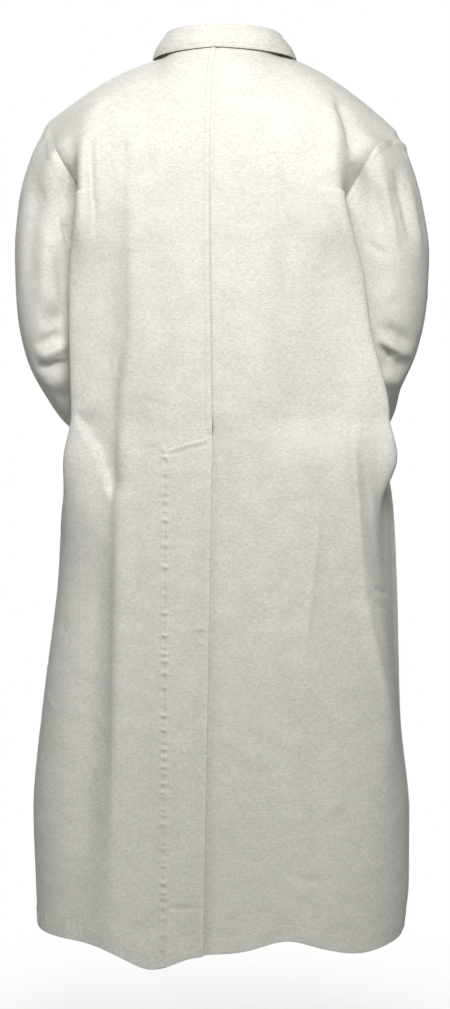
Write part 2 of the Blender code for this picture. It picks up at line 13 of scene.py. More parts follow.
import bmesh
import bpy
import numpy as np
from mathutils import Matrix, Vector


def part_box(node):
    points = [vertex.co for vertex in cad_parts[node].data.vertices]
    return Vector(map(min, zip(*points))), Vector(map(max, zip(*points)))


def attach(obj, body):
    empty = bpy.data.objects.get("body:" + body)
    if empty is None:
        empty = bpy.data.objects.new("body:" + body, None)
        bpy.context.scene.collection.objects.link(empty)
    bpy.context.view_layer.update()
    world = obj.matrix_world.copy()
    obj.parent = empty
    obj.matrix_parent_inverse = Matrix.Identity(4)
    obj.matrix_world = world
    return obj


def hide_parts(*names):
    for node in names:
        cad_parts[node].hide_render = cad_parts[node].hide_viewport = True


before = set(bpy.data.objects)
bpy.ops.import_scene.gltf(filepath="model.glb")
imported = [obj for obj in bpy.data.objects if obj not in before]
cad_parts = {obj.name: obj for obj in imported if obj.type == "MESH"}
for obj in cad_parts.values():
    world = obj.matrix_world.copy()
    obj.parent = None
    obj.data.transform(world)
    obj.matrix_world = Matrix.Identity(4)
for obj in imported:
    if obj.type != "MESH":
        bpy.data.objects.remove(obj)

Array = np.ndarray
BODY = "root"
LOG = logging.getLogger("duster")


class Side(Enum):
    """The wearer's left, along +X, or right."""

    LEFT = "left"
    RIGHT = "right"

    @property
    def sign(self) -> float:
        """One towards +X, minus one away from it."""
        return 1.0 if self is Side.LEFT else -1.0


class Face(Enum):
    """The back of the coat, along +Y, or its front."""

    BACK = "back"
    FRONT = "front"

    @property
    def sign(self) -> float:
        """One towards +Y, minus one away from it."""
        return 1.0 if self is Face.BACK else -1.0

    @property
    def other(self) -> "Face":
        """The opposite face."""
        return Face.FRONT if self is Face.BACK else Face.BACK


class Slot(Enum):
    """Material slots of the record."""

    CANVAS = "canvas"
    HORN = "horn"


def linear(code: str) -> tuple[float, float, float, float]:
    """Turns an sRGB hex colour to linear light.

    Args:
        code: Six hex digits after a hash sign.

    Returns:
        Red, green and blue in linear light, and one for alpha.
    """
    shares = [int(code[i:i + 2], 16) / 255.0 for i in (1, 3, 5)]
    light = [s / 12.92 if s <= 0.04045 else ((s + 0.055) / 1.055) ** 2.4 for s in shares]
    return light[0], light[1], light[2], 1.0


def add_node(tree: bpy.types.NodeTree, kind: str, settings: dict | None = None,
             **inputs: object) -> bpy.types.Node:
    """Adds one node, sets it up and links its inputs.

    Args:
        tree: The node tree that takes it.
        kind: Blender's name of the node's type.
        settings: The node's own properties by name.
        inputs: Values or output sockets, by the input's name in small letters with underscores,
            or by "in0", "in1" and so on for its place.

    Returns:
        The new node.
    """
    node = tree.nodes.new(kind)
    for name, value in (settings or {}).items():
        setattr(node, name, value)
    by_name = {socket.name.lower().replace(" ", "_"): socket for socket in reversed(node.inputs)}
    for name, value in inputs.items():
        socket = node.inputs[int(name[2:])] if name[:2] == "in" and name[2:].isdigit() else by_name[name]
        if isinstance(value, bpy.types.NodeSocket):
            tree.links.new(value, socket)
        else:
            socket.default_value = value
    return node


def unit(vectors: Array) -> Array:
    """Scales vectors to length one."""
    return vectors / np.maximum(np.linalg.norm(vectors, axis=-1, keepdims=True), 1e-12)


def smoothstep(value: Array) -> Array:
    """Soft step from nought at 0 to one at 1: three times the square less two times the cube."""
    t = np.clip(value, 0.0, 1.0)
    return t * t * (3.0 - 2.0 * t)


def bell(distance: Array, width: float | Array) -> Array:
    """Bell curve: e to the power of minus the square of distance over width."""
    return np.exp(-(distance / width) ** 2)


def run_length(points: Array, axis: int = 0) -> Array:
    """Adds up the distance from point to point along one axis of a grid, from nought."""
    step = np.linalg.norm(np.diff(points, axis=axis), axis=-1)
    first = np.zeros_like(np.take(step, [0], axis=axis))
    return np.cumsum(np.concatenate([first, step], axis=axis), axis=axis)


def ring_faces(rings: int, sides: int) -> Array:
    """Faces of four corners between closed rings of points, each ring joined to the next."""
    k = np.arange(sides)
    n = (k + 1) % sides
    one = np.stack([k, n, sides + n, sides + k], 1)
    return (one[None] + (np.arange(rings - 1) * sides)[:, None, None]).reshape(-1, 4)


def joined(parts: Iterable[tuple[Array, Array]]) -> tuple[Array, Array]:
    """Joins shapes, each given by its vertices and faces, into one."""
    vertices, faces, count = [], [], 0
    for v, f in parts:
        vertices.append(v)
        faces.append(f + count)
        count += len(v)
    return np.concatenate(vertices), np.concatenate(faces)


def linked(name: str, data: bpy.types.ID) -> bpy.types.Object:
    """Makes an object of a mesh, light or camera and links it to the scene."""
    thing = bpy.data.objects.new(name, data)
    bpy.context.scene.collection.objects.link(thing)
    return thing


def new_material(name: str) -> tuple[bpy.types.Material, bpy.types.NodeTree, bpy.types.Node]:
    """Makes a material, and gives it with its node tree and its shader."""
    finish = bpy.data.materials.new(name)
    finish.use_nodes = True
    return finish, finish.node_tree, finish.node_tree.nodes["Principled BSDF"]


@dataclass(frozen=True)
class SizeTable:
    """Rows of named sizes, read between the rows along monotone cubic curves."""

    fields: tuple[str, ...]
    rows: tuple[tuple, ...]

    def read(self, at: Array) -> dict[str, Array]:
        """Reads every column at fractional row numbers.

        The curve between two rows is the cubic with their values and slopes, where a slope is
        the harmonic mean of the rises before and after, or nought at a turning point.

        Args:
            at: Row numbers, which may lie between rows.

        Returns:
            One column of values for each field, by its name.
        """
        rows = np.array([row[1:] for row in self.rows], dtype=float)
        rise = np.diff(rows, axis=0)
        product, total = rise[:-1] * rise[1:], rise[:-1] + rise[1:]
        inner = np.where(product > 0.0, 2.0 * product / np.where(total == 0.0, 1.0, total), 0.0)
        slope = np.vstack([rise[:1], inner, rise[-1:]])
        low = np.clip(np.floor(at).astype(int), 0, len(rows) - 2)
        t = (at - low)[:, None]
        values = ((2 * t ** 3 - 3 * t ** 2 + 1) * rows[low] + (t ** 3 - 2 * t ** 2 + t) * slope[low]
                  + (3 * t ** 2 - 2 * t ** 3) * rows[low + 1] + (t ** 3 - t ** 2) * slope[low + 1])
        return {name: values[:, [i]] for i, name in enumerate(self.fields)}


BODY_TABLE = SizeTable(
    ("back_z", "back_y", "front_z", "front_y", "left_x", "right_x", "sway", "side_y", "side_z",
     "back_square", "corner_left", "corner_right"),
    (
        ("hem", -1.264, 0.176, -1.262, -0.172, 0.272, 0.257, -0.006, 0.030, -1.252, 2.5, 0.0, 0.002),
        ("rise", -1.190, 0.174, -1.190, -0.171, 0.275, 0.264, -0.006, 0.029, -1.180, 2.5, 0.0, 0.003),
        ("calf", -1.090, 0.170, -1.085, -0.168, 0.278, 0.264, -0.006, 0.028, -1.085, 2.5, 0.0, 0.004),
        ("knee", -0.950, 0.165, -0.940, -0.164, 0.265, 0.250, -0.006, 0.026, -0.940, 2.5, 0.0, 0.004),
        ("thigh", -0.780, 0.160, -0.775, -0.162, 0.245, 0.245, -0.006, 0.022, -0.775, 2.5, 0.0, 0.004),
        ("hip", -0.650, 0.158, -0.648, -0.160, 0.234, 0.238, -0.006, 0.018, -0.648, 2.6, 0.010, 0.020),
        ("waist", -0.590, 0.157, -0.590, -0.158, 0.210, 0.226, -0.006, 0.012, -0.588, 2.8, 0.030, 0.047),
        ("elbow", -0.515, 0.156, -0.512, -0.156, 0.156, 0.138, -0.005, 0.006, -0.512, 3.2, 0.060, 0.110),
        ("ribs", -0.400, 0.153, -0.400, -0.154, 0.158, 0.147, -0.003, 0.003, -0.400, 3.4, 0.058, 0.076),
        ("underarm", -0.312, 0.150, -0.312, -0.150, 0.168, 0.164, -0.001, 0.002, -0.312, 3.4, 0.048, 0.052),
        ("pit", -0.287, 0.149, -0.287, -0.149, 0.170, 0.166, -0.001, 0.026, -0.291, 3.4, 0.045, 0.048),
        ("low armhole", -0.256, 0.148, -0.256, -0.147, 0.174, 0.170, 0.0, 0.055, -0.262, 3.4, 0.041, 0.044),
        ("blade", -0.205, 0.146, -0.205, -0.144, 0.186, 0.181, 0.0, 0.074, -0.215, 3.2, 0.030, 0.032),
    ),
)

SLEEVE_FIELDS = ("outer_x", "outer_z", "inner_x", "inner_z", "y", "deep", "turned")
SLEEVE_TABLES = {
    Side.LEFT: SizeTable(SLEEVE_FIELDS, (
        ("armhole", 0.252, -0.100, 0.169, -0.312, 0.000, 0.078, 0.0),
        ("head", 0.278, -0.150, 0.1735, -0.326, 0.001, 0.085, 0.0),
        ("upper arm", 0.296, -0.215, 0.178, -0.346, 0.002, 0.086, 0.0),
        ("biceps", 0.302, -0.290, 0.1815, -0.374, 0.003, 0.084, 0.0),
        ("lower biceps", 0.299, -0.362, 0.184, -0.408, 0.002, 0.079, 6.0),
        ("above elbow", 0.288, -0.425, 0.180, -0.440, -0.006, 0.071, 24.0),
        ("elbow", 0.268, -0.470, 0.166, -0.474, -0.032, 0.065, 50.0),
        ("below elbow", 0.255, -0.500, 0.153, -0.502, -0.080, 0.059, 72.0),
        ("forearm", 0.234, -0.522, 0.134, -0.523, -0.154, 0.054, 78.0),
        ("cuff", 0.212, -0.542, 0.112, -0.542, -0.232, 0.051, 78.0),
    )),
    Side.RIGHT: SizeTable(SLEEVE_FIELDS, (
        ("armhole", 0.243, -0.117, 0.166, -0.312, 0.000, 0.078, 0.0),
        ("head", 0.265, -0.160, 0.1705, -0.326, 0.001, 0.084, 0.0),
        ("upper arm", 0.283, -0.222, 0.174, -0.346, 0.002, 0.085, 0.0),
        ("biceps", 0.293, -0.292, 0.175, -0.374, 0.003, 0.083, 0.0),
        ("lower biceps", 0.290, -0.362, 0.174, -0.408, 0.002, 0.079, 6.0),
        ("above elbow", 0.277, -0.424, 0.168, -0.440, -0.006, 0.071, 24.0),
        ("elbow", 0.254, -0.468, 0.153, -0.472, -0.032, 0.065, 50.0),
        ("below elbow", 0.242, -0.500, 0.142, -0.502, -0.080, 0.059, 72.0),
        ("forearm", 0.224, -0.522, 0.125, -0.523, -0.154, 0.054, 78.0),
        ("cuff", 0.206, -0.542, 0.106, -0.542, -0.232, 0.051, 78.0),
    )),
}

# Places round the neck, in degrees from the back. The table has a row for each: the fold line and
# the free edge of the collar as distances out from the neck seam and heights, and how far wear
# presses the free edge in
COLLAR_ANGLES = (0.0, 45.0, 90.0, 110.0, 130.0, 145.0, 165.0, 174.0)
COLLAR_TABLE = SizeTable(("fold_out", "fold_z", "edge_out", "edge_z", "press"), (
    ("back", -0.002, 0.0255, 0.0165, -0.0070, 0.0045),
    ("back quarter", -0.001, 0.0240, 0.0170, -0.0110, 0.0035),
    ("side", -0.001, 0.0165, 0.0205, -0.0150, 0.0),
    ("front side", 0.001, 0.0035, 0.0240, -0.0180, 0.0),
    ("front quarter", 0.003, -0.0150, 0.0315, -0.0335, 0.0),
    ("breast", 0.004, -0.0290, 0.0410, -0.0690, 0.0),
    ("point", 0.004, -0.0430, 0.0480, -0.1060, 0.0),
    ("front end", 0.004, -0.0460, 0.0420, -0.1040, 0.0),
))


@dataclass(frozen=True)
class Crease:
    """A soft ridge, or a trough where its height is below nought, along a path on the cloth."""

    path: tuple[tuple[float, float], ...]
    width: float
    height: float
    steep: float = 1.0
    fade: float = 0.35
    bends: int = 5

    def smooth_path(self) -> Array:
        """Rounds the path by cubic curves through its points."""
        if len(self.path) < 3:
            return np.array(self.path)
        rows = SizeTable(("u", "v"), tuple(("", *point) for point in self.path))
        read = rows.read(np.linspace(0.0, len(self.path) - 1.0, self.bends * (len(self.path) - 1) + 1))
        return np.hstack([read["u"], read["v"]])

    def heights(self, u: Array, v: Array) -> Array:
        """Works out how far the crease moves each point of a chart.

        The height is a bell curve of the distance to the path, narrower by the factor steep on
        the path's left side, and fades in and out over a share of the path at its ends.

        Args:
            u: First chart coordinate of each point.
            v: Second chart coordinate of each point.

        Returns:
            Heights along the normals.
        """
        path = self.smooth_path()
        reach = 3.0 * self.width
        low, high = path.min(0) - reach, path.max(0) + reach
        near = (u > low[0]) & (u < high[0]) & (v > low[1]) & (v < high[1])
        height = np.zeros_like(u)
        if not near.any():
            return height
        spot = np.stack([u[near], v[near]], axis=-1)
        distance, run, left = nearest_on_path(spot, path)
        total = np.linalg.norm(np.diff(path, axis=0), axis=1).sum()
        ends = smoothstep(run / (self.fade * total)) * smoothstep((total - run) / (self.fade * total))
        width = np.where(left, self.width * self.steep, self.width)
        height[near] = self.height * bell(distance, width) * ends
        return height


def nearest_on_path(spots: Array, path: Array) -> tuple[Array, Array, Array]:
    """Finds the nearest place of a path for each spot of a chart.

    Args:
        spots: Points of the chart, one a row.
        path: Points of the path, one a row.

    Returns:
        The distance, the run along the path up to there, and whether the spot is on its left.
    """
    best = np.full(len(spots), np.inf)
    run = np.zeros(len(spots))
    left = np.zeros(len(spots), dtype=bool)
    start = 0.0
    for a, b in zip(path[:-1], path[1:]):
        way = b - a
        length = np.linalg.norm(way)
        off = spots - a
        t = np.clip(off @ way / length ** 2, 0.0, 1.0)
        gap = np.linalg.norm(off - t[:, None] * way, axis=1)
        closer = gap < best
        best = np.where(closer, gap, best)
        run = np.where(closer, start + t * length, run)
        left = np.where(closer, way[0] * off[:, 1] - way[1] * off[:, 0] > 0.0, left)
        start += length
    return best, run, left


@dataclass(frozen=True)
class Puckers:
    """The small gathers that a line of stitches pulls across itself."""

    pitch: float = 0.012
    size: float = 0.0024
    reach: float = 0.0055
    height: float = 0.0008
    seed: int = 1
    kinds: int = 512

    def heights(self, distance: Array, run: Array) -> Array:
        """Works out the gathers near a stitch line.

        Each gather is a bell curve along the run times one across it, at uneven places and with
        uneven heights that are drawn once from the seed.

        Args:
            distance: Signed distance of each point from the stitch line.
            run: Place of each point along the line.

        Returns:
            Heights along the normals.
        """
        draw = np.random.default_rng(self.seed)
        shift = draw.uniform(-0.32, 0.32, self.kinds)
        strength = draw.uniform(0.25, 1.0, self.kinds)
        slant = draw.uniform(-0.25, 0.25, self.kinds)
        index = np.rint(run / self.pitch).astype(int)
        height = np.zeros_like(run)
        for step in (-1, 0, 1):
            kind = (index + step) % self.kinds
            centre = (index + step + shift[kind]) * self.pitch
            height += strength[kind] * bell(run - centre - slant[kind] * distance, self.size)
        return self.height * height * bell(distance, self.reach)


@dataclass(frozen=True)
class Rumple:
    """Short shallow wrinkles that wear leaves all over, longer and closer across than along."""

    count: int
    height: float
    seed: int
    low: tuple[float, float]
    high: tuple[float, float]
    lengths: tuple[float, float] = (0.018, 0.070)
    widths: tuple[float, float] = (0.0035, 0.0080)

    def heights(self, u: Array, v: Array) -> Array:
        """Adds up the wrinkles, drawn from the seed, over a chart.

        Args:
            u: First chart coordinate of each point.
            v: Second chart coordinate of each point.

        Returns:
            Heights along the normals.
        """
        draw = np.random.default_rng(self.seed)
        total = np.zeros_like(u)
        for _ in range(self.count):
            middle = draw.uniform(self.low, self.high)
            length = draw.uniform(*self.lengths)
            turn = draw.normal(0.0, 0.45) + (math.pi / 2 if draw.random() < 0.25 else 0.0)
            half = 0.5 * length * np.array([math.cos(turn), math.sin(turn)])
            crease = Crease((tuple(middle - half), tuple(middle + half)),
                            draw.uniform(*self.widths), draw.uniform(-1.0, 1.0) * self.height, fade=0.5)
            total += crease.heights(u, v)
        return total


@dataclass
class ClothGrid:
    """One cut piece of cloth as a grid of points on its outer face, rows by columns."""

    points: Array
    normals: Array
    across: Array
    along: Array
    ring: bool = False
    # Width of the cloth all round a closed ring
    turn: float = 0.0

    def wide(self, values: Array) -> Array:
        """Repeats the first column after the last where the grid is a closed ring."""
        return np.concatenate([values, values[:, :1]], axis=1) if self.ring else values

    def moved(self, heights: Array) -> "ClothGrid":
        """Moves every point along its normal by a height."""
        return replace(self, points=self.points + self.normals * heights[..., None])

    def cloth_places(self, rows: Array, columns: Array) -> Array:
        """Cloth coordinates of grid places, a whole turn on where a ring's first column repeats."""
        repeat = np.where(columns == self.across.shape[1], self.turn, 0.0)
        across = self.wide(self.across)[rows, columns] + repeat
        return np.stack([across, self.wide(self.along)[rows, columns]], axis=-1)

    def sample(self, rows: Array, columns: Array) -> tuple[Array, Array]:
        """Reads points and normals between the grid's own, by bilinear weights.

        Args:
            rows: Fractional row numbers.
            columns: Fractional column numbers.

        Returns:
            Points and unit normals there.
        """
        points, normals = self.wide(self.points), self.wide(self.normals)
        r = np.clip(rows.astype(int), 0, points.shape[0] - 2)
        c = np.clip(columns.astype(int), 0, points.shape[1] - 2)
        fr, fc = (rows - r)[:, None], (columns - c)[:, None]

        def mix(values: Array) -> Array:
            """Weighs the four neighbours of each place."""
            low = values[r, c] * (1 - fc) + values[r, c + 1] * fc
            high = values[r + 1, c] * (1 - fc) + values[r + 1, c + 1] * fc
            return low * (1 - fr) + high * fr

        return mix(points), unit(mix(normals))


def grid_normals(points: Array, outward: Array, ring: bool = False) -> Array:
    """Works out unit normals of a grid as the mean of the faces round each point.

    A face's normal is the cross product of its two diagonals.

    Args:
        points: Rows by columns of points.
        outward: A direction, or one for each point, that the normals should side with.
        ring: Whether the last column joins the first.

    Returns:
        One unit normal for each point.
    """
    wide = np.concatenate([points, points[:, :1]], axis=1) if ring else points
    faces = np.cross(wide[1:, 1:] - wide[:-1, :-1], wide[1:, :-1] - wide[:-1, 1:])
    total = np.zeros_like(wide)
    for rows in (slice(None, -1), slice(1, None)):
        for columns in (slice(None, -1), slice(1, None)):
            total[rows, columns] += faces
    if ring:
        total[:, 0] += total[:, -1]
        total = total[:, :-1]
    normals = unit(total)
    return normals * np.sign(np.sum(normals * outward))


def lowest_nearby(heights: Array, ring: bool) -> Array:
    """Takes the least height among each point and its eight neighbours."""
    low = heights.copy()
    for axis in (0, 1):
        shifted = [np.roll(low, step, axis) for step in (-1, 1)]
        if not (ring and axis == 1):
            edge = [slice(None)] * 2
            edge[axis] = -1
            shifted[0][tuple(edge)] = low[tuple(edge)]
            edge[axis] = 0
            shifted[1][tuple(edge)] = low[tuple(edge)]
        low = np.minimum(low, np.minimum(*shifted))
    return low


def cloth_mesh(name: str, grid: ClothGrid, base: ClothGrid, heights: Array, wall: float) -> bpy.types.Object:
    """Makes a closed thin wall from a grid: a fine outer face, an inner one half as fine, and rims.

    The inner face lies one wall's thickness under the lowest outer point nearby. Each rim joins
    two outer steps to one inner step by three triangles.

    Args:
        name: Name of the new object.
        grid: The outer face, with its heights.
        base: The same face without them.
        heights: How far each point was moved.
        wall: Thickness of the cloth.

    Returns:
        The new object, with a UV map in metres of cloth.
    """
    rows, columns = grid.points.shape[:2]
    spans = columns if grid.ring else columns - 1
    half = 2
    low = lowest_nearby(lowest_nearby(heights, grid.ring), grid.ring) - wall
    inner = (base.points + base.normals * low[..., None])[::half, ::half]
    inner_columns = inner.shape[1]
    inner_spans = spans // half
    first_inner = rows * columns

    def fine(r: Array, c: Array) -> Array:
        """Numbers of outer points."""
        return r * columns + c % columns

    def coarse(r: Array, c: Array) -> Array:
        """Numbers of inner points, by outer row and column."""
        return first_inner + (r // half) * inner_columns + (c // half) % inner_columns

    r, c = (v.ravel() for v in np.meshgrid(np.arange(rows - 1), np.arange(spans), indexing="ij"))
    outer_rc = np.stack([np.stack([r, c], -1), np.stack([r, c + 1], -1),
                         np.stack([r + 1, c + 1], -1), np.stack([r + 1, c], -1)], axis=1)
    r, c = (v.ravel() * half for v in
            np.meshgrid(np.arange((rows - 1) // half), np.arange(inner_spans), indexing="ij"))
    inner_rc = np.stack([np.stack([r + half, c], -1), np.stack([r + half, c + half], -1),
                         np.stack([r, c + half], -1), np.stack([r, c], -1)], axis=1)
    loops = border_loops(rows, spans, grid.ring)
    rims, rims_rc = [], []
    for loop in loops:
        p0, p1, p2 = loop[0:-2:half], loop[1:-1:half], loop[2::half]
        outer = [fine(p[:, 0], p[:, 1]) for p in (p0, p1, p2)]
        q0, q1 = (coarse(p[:, 0], p[:, 1]) for p in (p0, p2))
        rims += [np.stack([outer[1], outer[0], q0], 1), np.stack([outer[1], q0, q1], 1),
                 np.stack([outer[2], outer[1], q1], 1)]
        rims_rc += [np.stack([p1, p0, p0], 1), np.stack([p1, p0, p2], 1), np.stack([p2, p1, p2], 1)]
    quads = np.concatenate([fine(outer_rc[..., 0], outer_rc[..., 1]),
                            coarse(inner_rc[..., 0], inner_rc[..., 1])])
    quads_rc = np.concatenate([outer_rc, inner_rc])
    triangles, triangles_rc = np.concatenate(rims), np.concatenate(rims_rc)
    a, b, d = (grid.points[tuple(outer_rc[len(outer_rc) // 2, k] % (rows, columns))] for k in (0, 1, 3))
    middle = tuple(outer_rc[len(outer_rc) // 2, 0])
    if np.dot(np.cross(b - a, d - a), grid.normals[middle]) < 0.0:
        quads, quads_rc = quads[:, ::-1], quads_rc[:, ::-1]
        triangles, triangles_rc = triangles[:, ::-1], triangles_rc[:, ::-1]
    vertices = np.concatenate([grid.points.reshape(-1, 3), inner.reshape(-1, 3)])
    indices = np.concatenate([quads.ravel(), triangles.ravel()])
    places = np.concatenate([quads_rc.reshape(-1, 2), triangles_rc.reshape(-1, 2)])
    starts = np.concatenate([np.arange(len(quads)) * 4, len(quads) * 4 + np.arange(len(triangles)) * 3])
    return mesh_object(name, vertices, indices, starts, grid.cloth_places(places[:, 0], places[:, 1]))


def border_loops(rows: int, spans: int, ring: bool) -> list[Array]:
    """Walks round the edges of a grid the way its faces do.

    Args:
        rows: Number of rows of points.
        spans: Number of steps across.
        ring: Whether the last column joins the first, which leaves two loops.

    Returns:
        Rows and columns of each loop's points, the last repeating the first.
    """
    across = np.arange(spans + 1)
    up = np.arange(rows)
    bottom = np.stack([np.zeros_like(across), across], -1)
    top = np.stack([np.full_like(across, rows - 1), across], -1)[::-1]
    if ring:
        return [bottom, top]
    right = np.stack([up, np.full_like(up, spans)], -1)
    left = np.stack([up, np.zeros_like(up)], -1)[::-1]
    return [np.concatenate([bottom, right[1:], top[1:], left[1:]])]


def mesh_object(name: str, vertices: Array, indices: Array, starts: Array, uv: Array | None,
                sharp: float = math.radians(60.0)) -> bpy.types.Object:
    """Puts arrays into a mesh and links its object to the scene.

    Args:
        name: Name of the new object.
        vertices: Points, one a row.
        indices: Corners of all faces, one after another.
        starts: Where each face starts among them.
        uv: One pair for each corner, or none.
        sharp: Faces that meet at more than this angle stay sharp.

    Returns:
        The new object.
    """
    mesh = bpy.data.meshes.new(name)
    mesh.vertices.add(len(vertices))
    mesh.vertices.foreach_set("co", np.ascontiguousarray(vertices, dtype=np.float32).ravel())
    mesh.loops.add(len(indices))
    mesh.loops.foreach_set("vertex_index", indices.astype(np.int32))
    mesh.polygons.add(len(starts))
    mesh.polygons.foreach_set("loop_start", starts.astype(np.int32))
    mesh.update(calc_edges=True)
    if uv is not None:
        layer = mesh.uv_layers.new(name="cloth")
        layer.uv.foreach_set("vector", np.ascontiguousarray(uv, dtype=np.float32).ravel())
    mesh.shade_smooth()
    mesh.set_sharp_from_angle(angle=sharp)
    return linked(name, mesh)


@dataclass(frozen=True)
class Thread:
    """A row of lockstitches: short arched threads, half sunk in the cloth at their ends."""

    pitch: float = 0.0042
    length: float = 0.0030
    radius: float = 0.00034
    sides: int = 5
    seed: int = 5

    # Share of the length and rise, as a share of the radius, at each ring of one stitch
    PROFILE = ((-0.50, -0.9, 0.45), (-0.28, 0.25, 0.95), (0.28, 0.25, 0.95), (0.50, -0.9, 0.45))

    def rings(self, points: Array, normals: Array) -> tuple[Array, Array]:
        """Lays stitches along a line on the cloth.

        Each stitch has four rings of points round its thread, in the plane across its way.

        Args:
            points: Points of the line.
            normals: The cloth's normals there.

        Returns:
            Vertices, and faces as rows of four vertex numbers.
        """
        run = run_length(points)
        count = int(run[-1] / self.pitch)
        if count < 1:
            return np.zeros((0, 3)), np.zeros((0, 4), dtype=int)
        draw = np.random.default_rng(self.seed)
        middle = (np.arange(count) + 0.5) * self.pitch + draw.uniform(-0.06, 0.06, count) * self.pitch

        def at(where: Array, values: Array) -> Array:
            """Reads values at runs along the line."""
            return np.stack([np.interp(where, run, values[:, k]) for k in range(3)], axis=-1)

        way = unit(at(middle + self.length / 2, points) - at(middle - self.length / 2, points))
        up = unit(at(middle, normals))
        side = unit(np.cross(way, up))
        angle = np.linspace(0.0, 2 * math.pi, self.sides, endpoint=False)[None, :, None]
        circle = side[:, None] * np.cos(angle) + up[:, None] * np.sin(angle)
        rings = []
        for share, rise, size in self.PROFILE:
            centre = at(middle + share * self.length, points) + up * (rise * self.radius)
            rings.append(centre[:, None] + circle * (self.radius * size))
        vertices = np.stack(rings, axis=1).reshape(-1, 3)
        per = len(self.PROFILE) * self.sides
        one = ring_faces(len(self.PROFILE), self.sides)
        faces = (one[None] + (np.arange(count) * per)[:, None, None]).reshape(-1, 4)
        return vertices, faces


def thread_object(name: str, parts: Iterable[tuple[Array, Array]]) -> bpy.types.Object:
    """Makes one object of threads, each given by its vertices and faces."""
    vertices, faces = joined(parts)
    return mesh_object(name, vertices, faces[:, ::-1].ravel(), np.arange(len(faces)) * 4, None)


def stitch_object(name: str, thread: Thread, lines: Iterable[tuple[Array, Array]]) -> bpy.types.Object:
    """Makes one object of the stitches along several lines, each given by its points and normals."""
    return thread_object(name, (thread.rings(points, normals) for points, normals in lines))


@dataclass(frozen=True)
class Canvas:
    """Undyed linen and cotton canvas in plain weave, washed soft.

    Its warp and weft differ a little in shade and run thick and thin, which gives the eye a pale
    heathered ground with short streaks along both threads, matt, with a faint sheen at the rims.
    """

    name: str = "linen_cotton_canvas"
    ground: str = "#cfcec8"
    pale: str = "#dedcd6"
    tan: str = "#c0baaf"
    grey: str = "#c3c3bf"
    roughness: float = 0.93
    sheen: float = 0.12
    weft_mm: float = 2.4
    warp_mm: float = 2.2
    streak_mm: float = 7.0
    # Length and width of the slubs, of the soft mottle and of the flecks
    slub_mm: tuple[float, float] = (46.0, 1.6)
    mottle_mm: tuple[float, float] = (38.0, 26.0)
    fleck_mm: tuple[float, float] = (3.2, 1.2)
    mottle_shades: tuple[float, float] = (0.955, 1.035)
    thread_mm: float = 0.85
    crossways: bool = False
    bump_mm: float = 0.10
    bump_strength: float = 0.55

    def material(self) -> bpy.types.Material:
        """Builds the cloth's material on the piece's UV map, in millimetres of cloth."""
        finish, tree, shader = new_material(self.name)
        uv = add_node(tree, "ShaderNodeUVMap", {"uv_map": "cloth"})
        turn = math.pi / 2 if self.crossways else 0.0
        cloth = add_node(tree, "ShaderNodeMapping", vector=uv.outputs[0], rotation=(0.0, 0.0, turn),
                         scale=(1000.0, 1000.0, 1000.0)).outputs[0]

        def streaks(along: float, across: float, turned: bool, detail: float) -> bpy.types.NodeSocket:
            """Noise drawn out along one thread, its grains along by across in millimetres."""
            scale = (1.0 / across, 1.0 / along, 1.0) if turned else (1.0 / along, 1.0 / across, 1.0)
            place = add_node(tree, "ShaderNodeMapping", vector=cloth, scale=scale)
            noise = add_node(tree, "ShaderNodeTexNoise", {"noise_dimensions": "2D"}, vector=place.outputs[0],
                             scale=1.0, detail=detail, roughness=0.62)
            return noise.outputs[0]

        def ranged(value: bpy.types.NodeSocket, low: float, high: float) -> bpy.types.NodeSocket:
            """Spreads part of a value's range over nought to one."""
            return add_node(tree, "ShaderNodeMapRange", value=value, from_min=low, from_max=high).outputs[0]

        def mixed(share: bpy.types.NodeSocket, a: object, b: object) -> bpy.types.NodeSocket:
            """Mixes two colours by a share."""
            node = add_node(tree, "ShaderNodeMix", {"data_type": "RGBA"}, in0=share, in6=a, in7=b)
            return node.outputs[2]

        weft = streaks(self.streak_mm, self.weft_mm, False, 3.0)
        warp = streaks(self.streak_mm * 0.8, self.warp_mm, True, 3.0)
        long_slub = streaks(*self.slub_mm, False, 2.0)
        mottle = streaks(*self.mottle_mm, False, 3.0)
        fleck = streaks(*self.fleck_mm, False, 2.0)
        colour = mixed(ranged(weft, 0.38, 0.66), linear(self.ground), linear(self.pale))
        colour = mixed(ranged(warp, 0.52, 0.74), colour, linear(self.grey))
        colour = mixed(ranged(long_slub, 0.60, 0.76), colour, linear(self.pale))
        colour = mixed(ranged(fleck, 0.66, 0.80), colour, linear(self.tan))
        shade = add_node(tree, "ShaderNodeMapRange", value=mottle, from_min=0.3, from_max=0.7,
                         to_min=self.mottle_shades[0], to_max=self.mottle_shades[1]).outputs[0]
        tinted = add_node(tree, "ShaderNodeVectorMath", {"operation": "SCALE"}, in0=colour, scale=shade)
        tree.links.new(tinted.outputs[0], shader.inputs["Base Color"])
        # A wave of scale one has twenty radians to the millimetre
        waves = [add_node(tree, "ShaderNodeTexWave", {"bands_direction": way}, vector=cloth,
                          scale=math.pi / (10.0 * self.thread_mm), distortion=0.8, detail=1.0).outputs[1]
                 for way in ("X", "Y")]
        weave = add_node(tree, "ShaderNodeMath", {"operation": "MULTIPLY"}, in0=waves[0], in1=waves[1])
        slubs = add_node(tree, "ShaderNodeMath", {"operation": "MULTIPLY_ADD"}, in0=weft, in1=0.8,
                         in2=weave.outputs[0])
        bump = add_node(tree, "ShaderNodeBump", strength=self.bump_strength, distance=self.bump_mm / 1000.0,
                        height=slubs.outputs[0])
        tree.links.new(bump.outputs[0], shader.inputs["Normal"])
        shader.inputs["Roughness"].default_value = self.roughness
        shader.inputs["Specular IOR Level"].default_value = 0.25
        shader.inputs["Sheen Weight"].default_value = self.sheen
        shader.inputs["Sheen Roughness"].default_value = 0.6
        return finish


